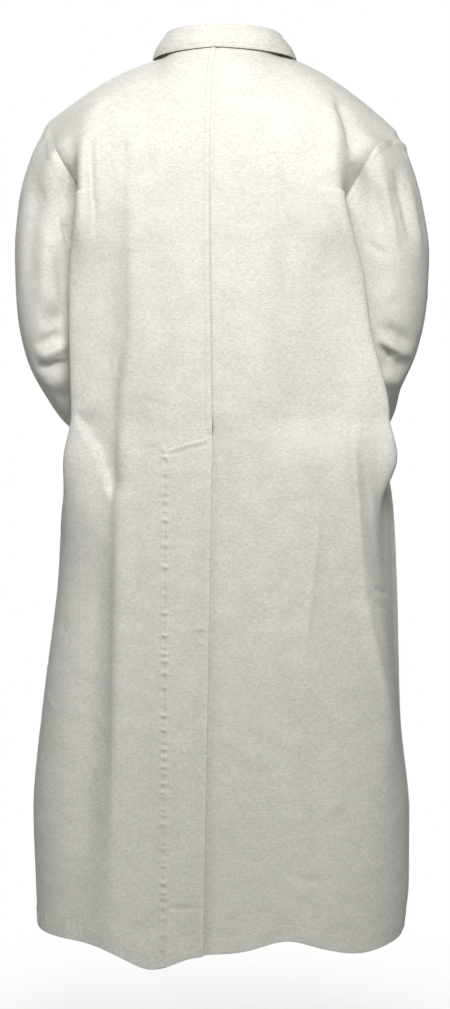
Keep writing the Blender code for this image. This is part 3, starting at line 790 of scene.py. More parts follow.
@dataclass(frozen=True)
class SewingThread:
    """Spun cotton sewing thread, undyed: a matt twist a little darker than the cloth."""

    name: str = "cotton_sewing_thread"
    light: str = "#c9c4b8"
    dark: str = "#a9a498"
    ply_mm: float = 0.5

    def material(self) -> bpy.types.Material:
        """Builds the thread's material, its colour broken up at the size of its ply."""
        finish, tree, shader = new_material(self.name)
        place = add_node(tree, "ShaderNodeTexCoord").outputs["Object"]
        noise = add_node(tree, "ShaderNodeTexNoise", vector=place, scale=1000.0 / self.ply_mm, detail=1.0)
        colour = add_node(tree, "ShaderNodeMix", {"data_type": "RGBA"}, in0=noise.outputs[0],
                          in6=linear(self.dark), in7=linear(self.light))
        tree.links.new(colour.outputs[2], shader.inputs["Base Color"])
        shader.inputs["Roughness"].default_value = 0.85
        return finish


@dataclass(frozen=True)
class Horn:
    """Polished dark horn: brown with paler grain lines and a low gloss."""

    name: str = "dark_horn"
    dark: str = "#2e241c"
    light: str = "#6b5542"
    grain_mm: float = 2.6
    roughness: float = 0.34

    def material(self) -> bpy.types.Material:
        """Builds the horn's material, its grain drawn out along X and bent by noise."""
        finish, tree, shader = new_material(self.name)
        place = add_node(tree, "ShaderNodeTexCoord").outputs["Object"]
        stretched = add_node(tree, "ShaderNodeMapping", vector=place, scale=(0.3, 1.0, 1.0)).outputs[0]
        noise = add_node(tree, "ShaderNodeTexNoise", vector=stretched, scale=1000.0 / self.grain_mm,
                         detail=4.0, distortion=0.8)
        share = add_node(tree, "ShaderNodeMapRange", value=noise.outputs[0], from_min=0.45, from_max=0.75)
        colour = add_node(tree, "ShaderNodeMix", {"data_type": "RGBA"}, in0=share.outputs[0],
                          in6=linear(self.dark), in7=linear(self.light))
        tree.links.new(colour.outputs[2], shader.inputs["Base Color"])
        wear = add_node(tree, "ShaderNodeMapRange", value=noise.outputs[0], to_min=self.roughness - 0.06,
                        to_max=self.roughness + 0.12)
        tree.links.new(wear.outputs[0], shader.inputs["Roughness"])
        shader.inputs["IOR"].default_value = 1.54
        return finish


@dataclass
class Wardrobe:
    """The finishes of the coat, one of each."""

    canvas: bpy.types.Material
    collar_canvas: bpy.types.Material
    thread: bpy.types.Material
    horn: bpy.types.Material


def settle(piece: bpy.types.Object, finish: bpy.types.Material,
           nodes: tuple[str, ...] = ()) -> None:
    """Gives a piece its finish and body, and hides the CAD nodes that it stands for.

    Args:
        piece: The piece.
        finish: Its material.
        nodes: CAD nodes that it replaces.
    """
    piece.data.materials.clear()
    piece.data.materials.append(finish)
    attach(piece, BODY)
    if nodes:
        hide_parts(*nodes)
    LOG.info("%s: %d faces", piece.name, len(piece.data.polygons))


@dataclass(frozen=True)
class BodyForm:
    """Form of the coat's body, the same as its solids have."""

    neck_half: float = 0.082
    neck_back: float = 0.078
    neck_front: float = 0.084
    neck_side_z: float = -0.014
    neck_front_z: float = -0.074
    neck_share: float = 0.38
    neck_dip: float = 1.2
    tips: tuple[tuple[float, float], tuple[float, float]] = ((0.252, -0.100), (0.243, -0.117))
    shoulder_bow: float = 1.45
    shoulder_round: float = 2.2
    nape_turn: float = math.radians(62.0)
    corner_place: float = 0.68
    corner_width: float = 0.12
    corner_backward: float = 0.25
    corner_end_power: int = 12
    front_square: float = 2.0
    underarm_row: float = 9.0
    samples: int = 360
    # The cloth over the sleeve's head fills the hollow at the armhole down to the fold's mouth
    head_fill: float = 0.030
    head_z: float = -0.150
    head_height: float = 0.042
    mouth_z: float = -0.204
    mouth_fade: float = 0.034
    head_top_z: float = -0.118
    head_top_fade: float = 0.030
    head_reach: float = 0.042
    head_sleeve_reach: float = 0.085
    hem_fade_z: float = -1.020
    # Each wave of the back hem as its place across, width and rise
    hem_waves: tuple[tuple[float, float, float], ...] = (
        (0.080, 0.050, -0.026), (-0.110, 0.050, 0.018), (-0.215, 0.035, -0.006))

    def sleeve_head(self, z: Array) -> Array:
        """How far the cloth at the armhole's edge stands out to fill the hollow, by its height."""
        mouth = smoothstep((z - self.mouth_z) / self.mouth_fade)
        ends = mouth * smoothstep((self.head_top_z - z) / self.head_top_fade)
        return self.head_fill * bell(z - self.head_z, self.head_height) * ends

    def neck_height(self, face: Face, share: Array) -> Array:
        """Height of the neck seam at a share of its way to the centre of a face."""
        if face is Face.BACK:
            return self.neck_side_z * (1.0 - share)
        return self.neck_side_z + (self.neck_front_z - self.neck_side_z) * share ** self.neck_dip

    def section(self, side: Side, face: Face, at: Array) -> tuple[Array, Array, Array, Array]:
        """Level lines of one quarter, each a superellipse with a roll of cloth near its corner.

        X is the half width times the sine to the power of two over the squareness, Y the same
        with the cosine, and the height changes with the square of the share of the line's length.

        Args:
            side: Left or right.
            face: Back or front.
            at: Fractional row numbers.

        Returns:
            X, Y and Z of the samples, and their share of the line's length from the centre.
        """
        level = BODY_TABLE.read(at)
        side_x = level[side.value + "_x"]
        centre_y, centre_z = level[face.value + "_y"], level[face.value + "_z"]
        above = np.where(at > self.underarm_row, 1.0, -1.0)[:, None]
        side_y = level["side_y"] if face is Face.BACK else -level["side_y"] * above
        square = level["back_square"] if face is Face.BACK else self.front_square
        turn = np.linspace(0.0, math.pi / 2, self.samples)[None, :]
        x = side_x * np.sin(turn) ** (2.0 / square)
        y = side_y + (centre_y - side_y) * np.clip(np.cos(turn), 0.0, 1.0) ** (2.0 / square)
        if face is Face.BACK:
            share = self.share_of(x, y)
            roll = bell(share - self.corner_place, self.corner_width) * (1.0 - share ** self.corner_end_power)
            x = x + level["corner_" + side.value] * roll
            y = y + self.corner_backward * level["corner_" + side.value] * roll
        share = self.share_of(x, y)
        return x, y, centre_z + (level["side_z"] - centre_z) * share ** 2, share

    @staticmethod
    def share_of(x: Array, y: Array) -> Array:
        """Share of each line's length between its centre and each sample."""
        length = run_length(np.stack([x, y], axis=-1), axis=1)
        return length / length[:, -1:]

    def lengths(self, side: Side, face: Face, at: Array) -> Array:
        """Length of each level line of a quarter."""
        x, y, _, _ = self.section(side, face, at)
        return run_length(np.stack([x, y], axis=-1), axis=1)[:, -1]

    def top(self, side: Side, face: Face, share: Array) -> Array:
        """Upper edge of a quarter: an elliptic neckline, then the bowed shoulder seam."""
        tip_x, tip_z = self.tips[0 if side is Side.LEFT else 1]
        around = np.clip(np.abs(share) / self.neck_share, 0.0, 1.0) * math.pi / 2
        along = np.clip((np.abs(share) - self.neck_share) / (1.0 - self.neck_share), 0.0, 1.0)
        x = np.sign(share) * (self.neck_half * np.sin(around) + (tip_x - self.neck_half) * along)
        depth = self.neck_back if face is Face.BACK else -self.neck_front
        z = self.neck_height(face, np.cos(around)) + (tip_z - self.neck_side_z) * along ** self.shoulder_bow
        return np.stack([x, depth * np.cos(around), z], axis=-1)

    def quarter(self, side: Side, face: Face, at: Array, shares: Array, yoke_rows: int) -> Array:
        """Points of a quarter, level rows up to the blades and bent rows from there to the top.

        Above the blades a column goes from its place there to the top line along a quarter of a
        superellipse, and under the blades it follows the level lines.

        Args:
            side: Left or right.
            face: Back or front.
            at: Fractional row numbers of the level rows.
            shares: Where each column lies on each level row, past the centre below nought.
            yoke_rows: Number of rows above the blades.

        Returns:
            Rows by columns of points.
        """
        x, y, z, share = self.section(side, face, at)
        read = [np.array([np.interp(np.abs(w), s, v) for w, s, v in zip(shares, share, values)])
                for values in (x, y, z)]
        lower = np.stack([read[0] * np.where(shares < 0.0, -1.0, 1.0), read[1], read[2]], axis=-1)
        base, top = lower[-1], self.top(side, face, shares[-1])
        opened = np.clip(np.abs(shares[-1]) / self.neck_share, 0.0, 1.0) ** 2
        open_turn = self.nape_turn + (math.pi / 2 - self.nape_turn) * opened
        turn = np.linspace(0.0, 1.0, yoke_rows + 1)[1:, None] * open_turn[None, :]
        power = 2.0 / self.shoulder_round
        upwards = np.sin(turn) ** power / np.sin(open_turn) ** power
        drop = 1.0 - np.clip(np.cos(open_turn), 0.0, 1.0) ** power
        inwards = (1.0 - np.clip(np.cos(turn), 0.0, 1.0) ** power) / drop
        share_up = np.stack([upwards, inwards, upwards], axis=-1)
        yoke = base[None] + (top - base)[None] * share_up
        points = np.concatenate([lower, yoke]) * (side.sign, 1.0, 1.0)
        points[:len(at), :, 0] += BODY_TABLE.read(at)["sway"]
        if face is Face.BACK:
            hem_z = BODY_TABLE.rows[0][1]
            near = np.clip((self.hem_fade_z - points[..., 2]) / (self.hem_fade_z - hem_z), 0.0, 1.0) ** 2
            across = points[..., 0].copy()
            for place, width, rise in self.hem_waves:
                points[..., 2] += rise * bell(across - place, width) * near
        return points


@dataclass(frozen=True)
class LevelRows:
    """Where the rows of the body's grids lie, the same for all four panels."""

    level_count: int = 437
    yoke_count: int = 95

    def stops(self) -> Array:
        """Fractional row numbers at even steps down the centre back."""
        fine = np.linspace(0.0, len(BODY_TABLE.rows) - 1.0, 4001)
        height = BODY_TABLE.read(fine)["back_z"][:, 0]
        return np.interp(np.linspace(height[0], height[-1], self.level_count), height, fine)


def spaced_columns(count: int, dense: Iterable[tuple[float, float, float]]) -> Array:
    """Places columns from nought to one, closer together where a seam or stitch line needs it.

    Args:
        count: Number of steps between columns.
        dense: Place, width and added density of each such spot.

    Returns:
        The columns' places.
    """
    fine = np.linspace(0.0, 1.0, 4001)
    density = np.ones_like(fine)
    for place, width, more in dense:
        density += more * bell(fine - place, width)
    total = np.concatenate([[0.0], np.cumsum((density[1:] + density[:-1]) / 2)])
    return np.interp(np.linspace(0.0, total[-1], count + 1), total, fine)


@dataclass(frozen=True)
class SeamShape:
    """How seams and hems stand up from the cloth."""

    lift: float = 0.0006
    tuck: float = 0.0012
    tuck_reach: float = 0.0040
    centre_tuck: float = 0.0007
    centre_tuck_reach: float = 0.0022
    stitch_in: float = 0.0065
    band_ease: float = 0.002
    groove: float = 0.0005
    groove_width: float = 0.0016
    edge_round: float = 0.0006
    edge_width: float = 0.0012

    def raised(self, distance: Array, stitch_in: float | None = None) -> Array:
        """Height of the upper cloth of a seam: a flat band up to its stitches, then a groove.

        Args:
            distance: Distance from the seam's edge.
            stitch_in: Distance from the edge to the stitches, where it isn't the usual one.

        Returns:
            Heights along the normals.
        """
        line = self.stitch_in if stitch_in is None else stitch_in
        band = self.lift * (1.0 - smoothstep((distance - line) / self.band_ease))
        return (band - self.groove * bell(distance - line, self.groove_width)
                - self.edge_round * bell(distance, self.edge_width))

    def tucked(self, distance: Array) -> Array:
        """Height of the lower cloth of a seam, which goes in under the edge of the upper one."""
        return -self.tuck * (1.0 - smoothstep(distance / self.tuck_reach))


@dataclass(frozen=True)
class Fold:
    """A large fold of the hanging cloth, the same as the solids have."""

    x_top: float
    z_top: float
    x_low: float
    z_low: float
    width: float
    rise: float
    fade: float = 0.12

    def heights(self, x: Array, z: Array) -> Array:
        """Bell curve across the fold's path, faded past both of its ends."""
        down = (self.z_top - z) / (self.z_top - self.z_low)
        path = self.x_top + (self.x_low - self.x_top) * np.clip(down, 0.0, 1.0)
        past = np.clip(np.abs(down - 0.5) - 0.5, 0.0, None) * (self.z_top - self.z_low) / self.fade
        return self.rise * np.exp(-((x - path) / self.width) ** 2 - (2.0 * past) ** 2)


BACK_FOLDS = (
    Fold(0.113, -0.190, 0.136, -1.230, 0.020, 0.0050),
    Fold(0.165, -0.800, 0.190, -1.250, 0.030, -0.0060),
    Fold(-0.140, -0.300, -0.134, -0.900, 0.022, 0.0035),
    Fold(-0.200, -0.560, -0.246, -0.960, 0.016, 0.0070),
    Fold(-0.232, -0.600, -0.262, -0.930, 0.012, -0.0050),
    Fold(-0.110, -0.950, -0.120, -1.270, 0.035, -0.0060),
)
FRONT_FOLDS = (
    Fold(0.100, -0.560, 0.118, -1.240, 0.022, 0.0055),
    Fold(0.150, -0.700, 0.172, -1.240, 0.024, -0.0055),
    Fold(-0.108, -0.600, -0.130, -1.240, 0.022, 0.0055),
    Fold(-0.162, -0.760, -0.178, -1.240, 0.024, -0.0055),
)

# Creases of the back in X and Z, each from its upper end to its lower end. Two of them, a recess
# and the face outside it, draw the fold at the left elbow sharper than the solid has it
BACK_CREASES = (
    Crease(((0.169, -0.120), (0.168, -0.195), (0.164, -0.235), (0.166, -0.290)), 0.0070, -0.0062, 0.7),
    Crease(((0.181, -0.120), (0.180, -0.205), (0.184, -0.320)), 0.0090, 0.0040),
    Crease(((0.113, -0.080), (0.111, -0.276), (0.111, -0.399), (0.126, -0.490), (0.129, -0.640),
            (0.134, -0.844), (0.135, -1.180)), 0.0110, 0.0010, 0.6, 0.10),
    Crease(((0.124, -0.110), (0.121, -0.276), (0.122, -0.399), (0.138, -0.490), (0.143, -0.640),
            (0.148, -0.844), (0.150, -1.100)), 0.0140, -0.0038, 2.0, 0.14),
    Crease(((0.194, -0.510), (0.177, -0.544), (0.162, -0.565), (0.150, -0.597), (0.137, -0.640)),
           0.0240, -0.0105, 0.15, 0.22),
    Crease(((0.212, -0.520), (0.196, -0.560), (0.188, -0.600), (0.180, -0.680)), 0.0200, 0.0014),
    Crease(((-0.166, -0.066), (-0.173, -0.089), (-0.181, -0.106), (-0.188, -0.126), (-0.196, -0.172)),
           0.0075, -0.0060, 0.7),
    Crease(((-0.158, -0.080), (-0.170, -0.118), (-0.178, -0.175)), 0.0080, 0.0028),
    Crease(((-0.156, -0.590), (-0.144, -0.736), (-0.134, -0.841), (-0.134, -0.940)), 0.0050, 0.0018, 0.5),
    Crease(((-0.192, -0.480), (-0.201, -0.605), (-0.206, -0.716), (-0.217, -0.806), (-0.232, -0.886),
            (-0.250, -0.985)), 0.0060, 0.0040, 0.7, 0.2),
    Crease(((-0.208, -0.530), (-0.216, -0.640), (-0.224, -0.720), (-0.234, -0.810)), 0.0090, -0.0044),
    Crease(((-0.222, -0.753), (-0.243, -0.771)), 0.0030, -0.0024),
    Crease(((-0.220, -0.771), (-0.243, -0.795)), 0.0030, -0.0024),
    Crease(((0.060, -1.203), (0.030, -1.202), (0.003, -1.197)), 0.0046, -0.0018, 0.5, 0.3),
    Crease(((0.022, -0.812), (0.010, -0.811), (0.000, -0.808)), 0.0030, 0.0016),
    Crease(((0.018, -0.828), (0.008, -0.831), (0.001, -0.834)), 0.0028, 0.0014),
    Crease(((0.094, -0.493), (0.075, -0.500), (0.050, -0.504)), 0.0050, -0.0008),
    Crease(((0.120, -0.564), (0.089, -0.562), (0.064, -0.564)), 0.0040, -0.0009),
    Crease(((0.056, -0.682), (0.030, -0.688), (0.000, -0.680)), 0.0070, -0.0009),
    Crease(((-0.134, -0.098), (-0.144, -0.123), (-0.157, -0.190)), 0.0120, -0.0036),
    Crease(((-0.094, -0.205), (-0.106, -0.290), (-0.112, -0.420)), 0.0140, -0.0032),
    Crease(((0.125, -0.130), (0.116, -0.165), (0.113, -0.205)), 0.0100, -0.0030),
    Crease(((0.091, -0.095), (0.087, -0.200)), 0.0110, -0.0020),
    Crease(((0.086, -0.250), (0.074, -0.340), (0.060, -0.440)), 0.0170, -0.0028),
    Crease(((-0.040, -0.230), (-0.052, -0.330), (-0.050, -0.440)), 0.0180, -0.0020),
    Crease(((-0.060, -0.440), (-0.078, -0.560), (-0.080, -0.760), (-0.068, -0.950)), 0.0200, -0.0036),
    Crease(((-0.106, -0.480), (-0.112, -0.640), (-0.104, -0.820)), 0.0160, 0.0026),
    Crease(((-0.100, -1.144), (-0.135, -1.159), (-0.176, -1.166)), 0.0070, -0.0013),
    Crease(((-0.148, -1.090), (-0.169, -1.064), (-0.194, -1.044)), 0.0080, 0.0013),
    Crease(((-0.120, -1.020), (-0.150, -1.089), (-0.176, -1.120)), 0.0090, -0.0012),
    Crease(((-0.026, -0.988), (-0.070, -1.010), (-0.104, -1.004)), 0.0090, -0.0011),
    Crease(((-0.088, -1.060), (-0.120, -1.076), (-0.150, -1.066)), 0.0085, 0.0010),
    Crease(((0.170, -0.640), (0.178, -0.880), (0.180, -1.180)), 0.0270, -0.0080, 1.8, 0.2),
    Crease(((0.086, -0.900), (0.090, -1.040), (0.084, -1.180)), 0.0180, -0.0022),
)

# Creases of the front, made like those of the back, because the photograph hides them
FRONT_CREASES = (
    Crease(((0.158, -0.130), (0.150, -0.200), (0.146, -0.290)), 0.0070, -0.0043, 0.8),
    Crease(((-0.156, -0.135), (-0.149, -0.210), (-0.147, -0.300)), 0.0075, -0.0040, 0.8),
    Crease(((0.172, -0.330), (0.130, -0.300), (0.095, -0.296)), 0.0080, 0.0034),
    Crease(((0.170, -0.352), (0.135, -0.335), (0.104, -0.345)), 0.0070, -0.0031),
    Crease(((-0.170, -0.328), (-0.132, -0.305), (-0.092, -0.305)), 0.0080, 0.0034),
    Crease(((-0.166, -0.355), (-0.130, -0.345), (-0.100, -0.356)), 0.0070, -0.0029),
    Crease(((0.168, -0.470), (0.120, -0.520), (0.074, -0.545)), 0.0090, 0.0040),
    Crease(((0.160, -0.500), (0.120, -0.550), (0.086, -0.590)), 0.0080, -0.0037),
    Crease(((-0.150, -0.470), (-0.110, -0.525), (-0.070, -0.560)), 0.0090, 0.0039),
    Crease(((-0.140, -0.505), (-0.112, -0.560), (-0.080, -0.600)), 0.0080, -0.0036),
    Crease(((0.062, -0.200), (0.058, -0.300), (0.066, -0.420)), 0.0120, -0.0025),
    Crease(((-0.066, -0.210), (-0.060, -0.330), (-0.068, -0.430)), 0.0120, -0.0023),
    Crease(((0.060, -0.640), (0.066, -0.820), (0.062, -1.020)), 0.0150, -0.0034),
    Crease(((-0.062, -0.660), (-0.070, -0.840), (-0.066, -1.040)), 0.0150, -0.0031),
    Crease(((0.204, -0.640), (0.216, -0.800), (0.224, -1.000)), 0.0140, 0.0037),
    Crease(((-0.206, -0.640), (-0.214, -0.820), (-0.220, -1.010)), 0.0140, 0.0037),
)


@dataclass
class Panel(ABC):
    """One quarter of the body, back or front, left or right, cut in one piece."""

    side: Side
    face: Face
    columns: int
    dense: tuple[tuple[float, float, float], ...]
    flat: tuple[float, float]
    area: float
    rumple: Rumple
    folds: tuple[Fold, ...]
    creases: tuple[Crease, ...]
    form: BodyForm = field(default_factory=BodyForm)
    rows: LevelRows = field(default_factory=LevelRows)
    seam: SeamShape = field(default_factory=SeamShape)
    wall: float = 0.0013
    hem_depth: float = 0.025
    hold_reach: float = 0.020
    neck_stitch_in: float = 0.012
    neck_strength: float = 1.8
    ease_rows: float = 14.0
    ease_times: int = 60
    # Heights between which the cloth hangs straighter than its level lines under the arm
    hang_low: float = -0.430
    hang_low_fade: float = 0.060
    hang_high: float = -0.190
    hang_high_fade: float = 0.040
    hang_side_fade: float = 0.030
    hang_pull: float = 0.5
    hang_times: int = 220
    # How far from the side, the shoulder and the centre the normals are shared, as shares of the
    # row or as rows
    side_blend: float = 0.02
    shoulder_blend_rows: float = 10.0
    centre_blend: float = 0.012
    crease_hold_reach: float = 0.012
    hem_pull_in: float = 0.004
    # The hem's gathers are counted from this far on the wearer's right of the centre
    hem_pucker_shift: float = 0.5
    hem_puckers: Puckers = Puckers(0.0135, 0.0032, 0.0075, 0.0011, 11)
    seam_puckers: Puckers = Puckers(0.0105, 0.0026, 0.0046, 0.0004, 17)

    @property
    def name(self) -> str:
        """Name of the CAD node that the panel stands for."""
        return f"{self.face.value}_{self.side.value}"

    @abstractmethod
    def first_share(self, at: Array, lengths: Array) -> Array:
        """Share of each level row at which its first column lies, past the centre below nought."""

    @abstractmethod
    def own_relief(self, grid: ClothGrid, shares: Array, lengths: Array) -> Array:
        """Heights that only this kind of panel has."""

    def columns_at(self, at: Array, lengths: Array) -> Array:
        """Shares of the columns on each level row, from the first column to the side line."""
        start = self.first_share(at, lengths)[:, None]
        return start + (1.0 - start) * spaced_columns(self.columns, self.dense)[None, :]

    def base(self) -> tuple[ClothGrid, Array, Array]:
        """Lays out the panel without its relief.

        Returns:
            The grid, and the shares and lengths of its level rows carried on to the top.
        """
        at = self.rows.stops()
        lengths = self.form.lengths(self.side, self.face, at)
        shares = self.columns_at(at, lengths)
        points = self.form.quarter(self.side, self.face, at, shares, self.rows.yoke_count)
        self.ease_yoke(points)
        self.ease_underarm(points, (1.0 - shares) * lengths[:, None])
        rows = np.arange(len(points))[:, None]
        edge = np.where(rows > self.below_arm, self.form.sleeve_head(points[:, -1:, 2]), 0.0)
        to_side = run_length(points[:, ::-1], axis=1)[:, ::-1]
        points[..., 1] += self.face.sign * edge * bell(to_side, self.form.head_reach)
        normals = grid_normals(points, np.array([0.0, self.face.sign, 0.0]))
        last = np.repeat(shares[-1:], self.rows.yoke_count, axis=0)
        shares = np.vstack([shares, last])
        lengths = np.append(lengths, np.full(self.rows.yoke_count, lengths[-1]))[:, None]
        level = run_length(points * (1.0, 1.0, 0.0), axis=1)
        middle = np.array([np.interp(0.0, s, run) for s, run in zip(shares, level)])[:, None]
        along = run_length(points, axis=0)
        return ClothGrid(points, normals, (level - middle) * self.side.sign, along), shares, lengths

    def ease_yoke(self, points: Array) -> None:
        """Rounds the kink that runs down the yoke from the corner of the neck, in place."""
        yoke = points[self.rows.level_count:]
        weight = smoothstep(np.arange(len(yoke))[::-1] / self.ease_rows)[:, None, None]
        for _ in range(self.ease_times):
            middle = (yoke[:, :-2] + yoke[:, 2:]) / 2.0
            yoke[:, 1:-1] += (middle - yoke[:, 1:-1]) * weight

    def ease_underarm(self, points: Array, to_side: Array) -> None:
        """Smooths the level rows up and down across the underarm, in place, away from the side line."""
        level = points[:self.rows.level_count]
        z = level[..., 2]
        low = smoothstep((z - self.hang_low) / self.hang_low_fade)
        weight = low * smoothstep((self.hang_high - z) / self.hang_high_fade)
        weight = (weight * smoothstep(to_side / self.hang_side_fade))[1:-1, :, None]
        for _ in range(self.hang_times):
            middle = (level[:-2] + level[2:]) / 2.0
            level[1:-1] += (middle - level[1:-1]) * weight * self.hang_pull

    def square_normals(self, normals: Array, shares: Array, beside: Array) -> None:
        """Makes the normals on shared seams the same for the cloths on both sides of each.

        Args:
            normals: The panel's normals, changed in place.
            shares: Where its columns lie.
            beside: Side line normals of the panel past the side seam.
        """
        level = self.rows.level_count
        below = self.below_arm
        rim = unit(normals[:below + 1, -1] + beside[:below + 1])
        fade = bell(1.0 - shares[:below + 1], self.side_blend)[..., None]
        normals[:below + 1] = unit(normals[:below + 1] * (1 - fade) + rim[:, None] * fade)
        shoulder = shares[-1] >= self.form.neck_share
        top = normals[-1, shoulder] * (1.0, 0.0, 1.0)
        fade = bell(np.arange(len(normals) - level)[::-1] / self.shoulder_blend_rows, 1.0)[:, None, None]
        normals[level:, shoulder] = unit(normals[level:, shoulder] * (1 - fade) + unit(top)[None] * fade)
        centre = bell(shares, self.centre_blend)[..., None]
        normals[...] = unit(normals * (1 - centre) + unit(normals * (0.0, 1.0, 1.0)) * centre)

    @property
    def below_arm(self) -> int:
        """Number of level rows up to the underarm."""
        return int(np.searchsorted(self.rows.stops(), self.form.underarm_row))

    def relief(self, grid: ClothGrid, shares: Array, lengths: Array) -> Array:
        """Adds up everything that stands up from the panel or sinks into it.

        Args:
            grid: The panel without relief.
            shares: Where its columns lie on each row.
            lengths: Length of each row.

        Returns:
            Heights along the normals.
        """
        x, z = grid.points[..., 0], grid.points[..., 2]
        to_side = (1.0 - shares) * lengths
        to_top = grid.along[-1:] - grid.along
        rows = np.arange(len(shares))[:, None]
        seamed = rows <= self.below_arm
        held = smoothstep(to_side / self.hold_reach) * smoothstep(to_top / self.hold_reach)
        heights = sum(fold.heights(x, z) for fold in self.folds) * held
        soft = sum(crease.heights(x, z) for crease in self.creases)
        soft = (soft + self.rumple.heights(x, z)) * smoothstep(to_side / self.crease_hold_reach)
        heights += soft * smoothstep(to_top / self.crease_hold_reach)
        shoulder = shares[-1:] >= self.form.neck_share
        if self.face is Face.BACK:
            side_seam = np.where(seamed, self.seam.tucked(to_side), 0.0)
            shoulder_seam = np.where(shoulder, self.seam.raised(to_top), 0.0)
        else:
            side_seam = np.where(seamed, self.seam.raised(to_side), 0.0)
            puckers = self.seam_puckers.heights(to_side - self.seam.stitch_in, grid.along)
            side_seam += np.where(seamed, puckers, 0.0)
            shoulder_seam = np.where(shoulder, self.seam.tucked(to_top), 0.0)
        neck = np.where(shoulder, 0.0, self.neck_strength * self.seam.raised(to_top, self.neck_stitch_in))
        hem = self.seam.raised(grid.along, self.hem_depth)
        hem += self.hem_puckers.heights(grid.along - self.hem_depth + self.hem_pull_in,
                                        grid.across + self.hem_pucker_shift)
        heights += side_seam + shoulder_seam + neck + hem
        return heights + self.own_relief(grid, shares, lengths)

    def build(self, wardrobe: Wardrobe, beside: Array) -> ClothGrid:
        """Makes the panel and its stitches.

        Args:
            wardrobe: The finishes.
            beside: Side line normals of the panel past the side seam.

        Returns:
            The finished outer face, which sleeves and stitches start from.
        """
        grid, shares, lengths = self.base()
        self.square_normals(grid.normals, shares, beside)
        heights = self.relief(grid, shares, lengths)
        outer = grid.moved(heights)
        woven = replace(outer, along=np.broadcast_to(grid.along[:, :1], grid.along.shape))
        piece = cloth_mesh(self.name + "_cloth", woven, grid, heights, self.wall)
        settle(piece, wardrobe.canvas, (self.name,))
        outer = replace(outer, normals=grid_normals(outer.points, np.array([0.0, self.face.sign, 0.0])))
        stitches = stitch_object(self.name + "_stitches", Thread(), self.stitch_lines(outer, shares, lengths))
        settle(stitches, wardrobe.thread)
        return outer

    def line_up(self, grid: ClothGrid, distance: Array, wanted: float, rows: Array) -> tuple[Array, Array]:
        """Points of a line up the panel, where a distance that falls outwards has a value."""
        order = np.arange(distance.shape[1])
        columns = np.array([np.interp(-wanted, -distance[r], order) for r in rows])
        return grid.sample(rows.astype(float), columns)

    def line_across(self, grid: ClothGrid, distance: Array, wanted: float,
                    columns: Array) -> tuple[Array, Array]:
        """Points of a line across the panel, where a distance that grows upwards has a value."""
        order = np.arange(distance.shape[0])
        rows = np.array([np.interp(wanted, distance[:, c], order) for c in columns])
        return grid.sample(rows, columns.astype(float))

    def stitch_lines(self, grid: ClothGrid, shares: Array, lengths: Array) -> list[tuple[Array, Array]]:
        """Lines of stitches that every panel has: hem, neck, and the side or shoulder seam.

        Args:
            grid: The finished outer face.
            shares: Where its columns lie on each row.
            lengths: Length of each row.

        Returns:
            Points and normals of each line.
        """
        to_side = (1.0 - shares) * lengths
        below_top = -(grid.along[-1:] - grid.along)
        last = shares.shape[1]
        level = self.below_arm
        hem = self.line_across(grid, grid.along, self.hem_depth, np.arange(0, last))
        neck_columns = np.flatnonzero(shares[-1] <= self.form.neck_share)
        neck = self.line_across(grid, below_top, -self.neck_stitch_in, neck_columns)
        lines = [hem, neck]
        if self.face is Face.FRONT:
            lines.append(self.line_up(grid, to_side, self.seam.stitch_in, np.arange(8, level)))
        else:
            over = np.flatnonzero(shares[-1] >= self.form.neck_share)
            lines.append(self.line_across(grid, below_top, -self.seam.stitch_in, over))
        return lines


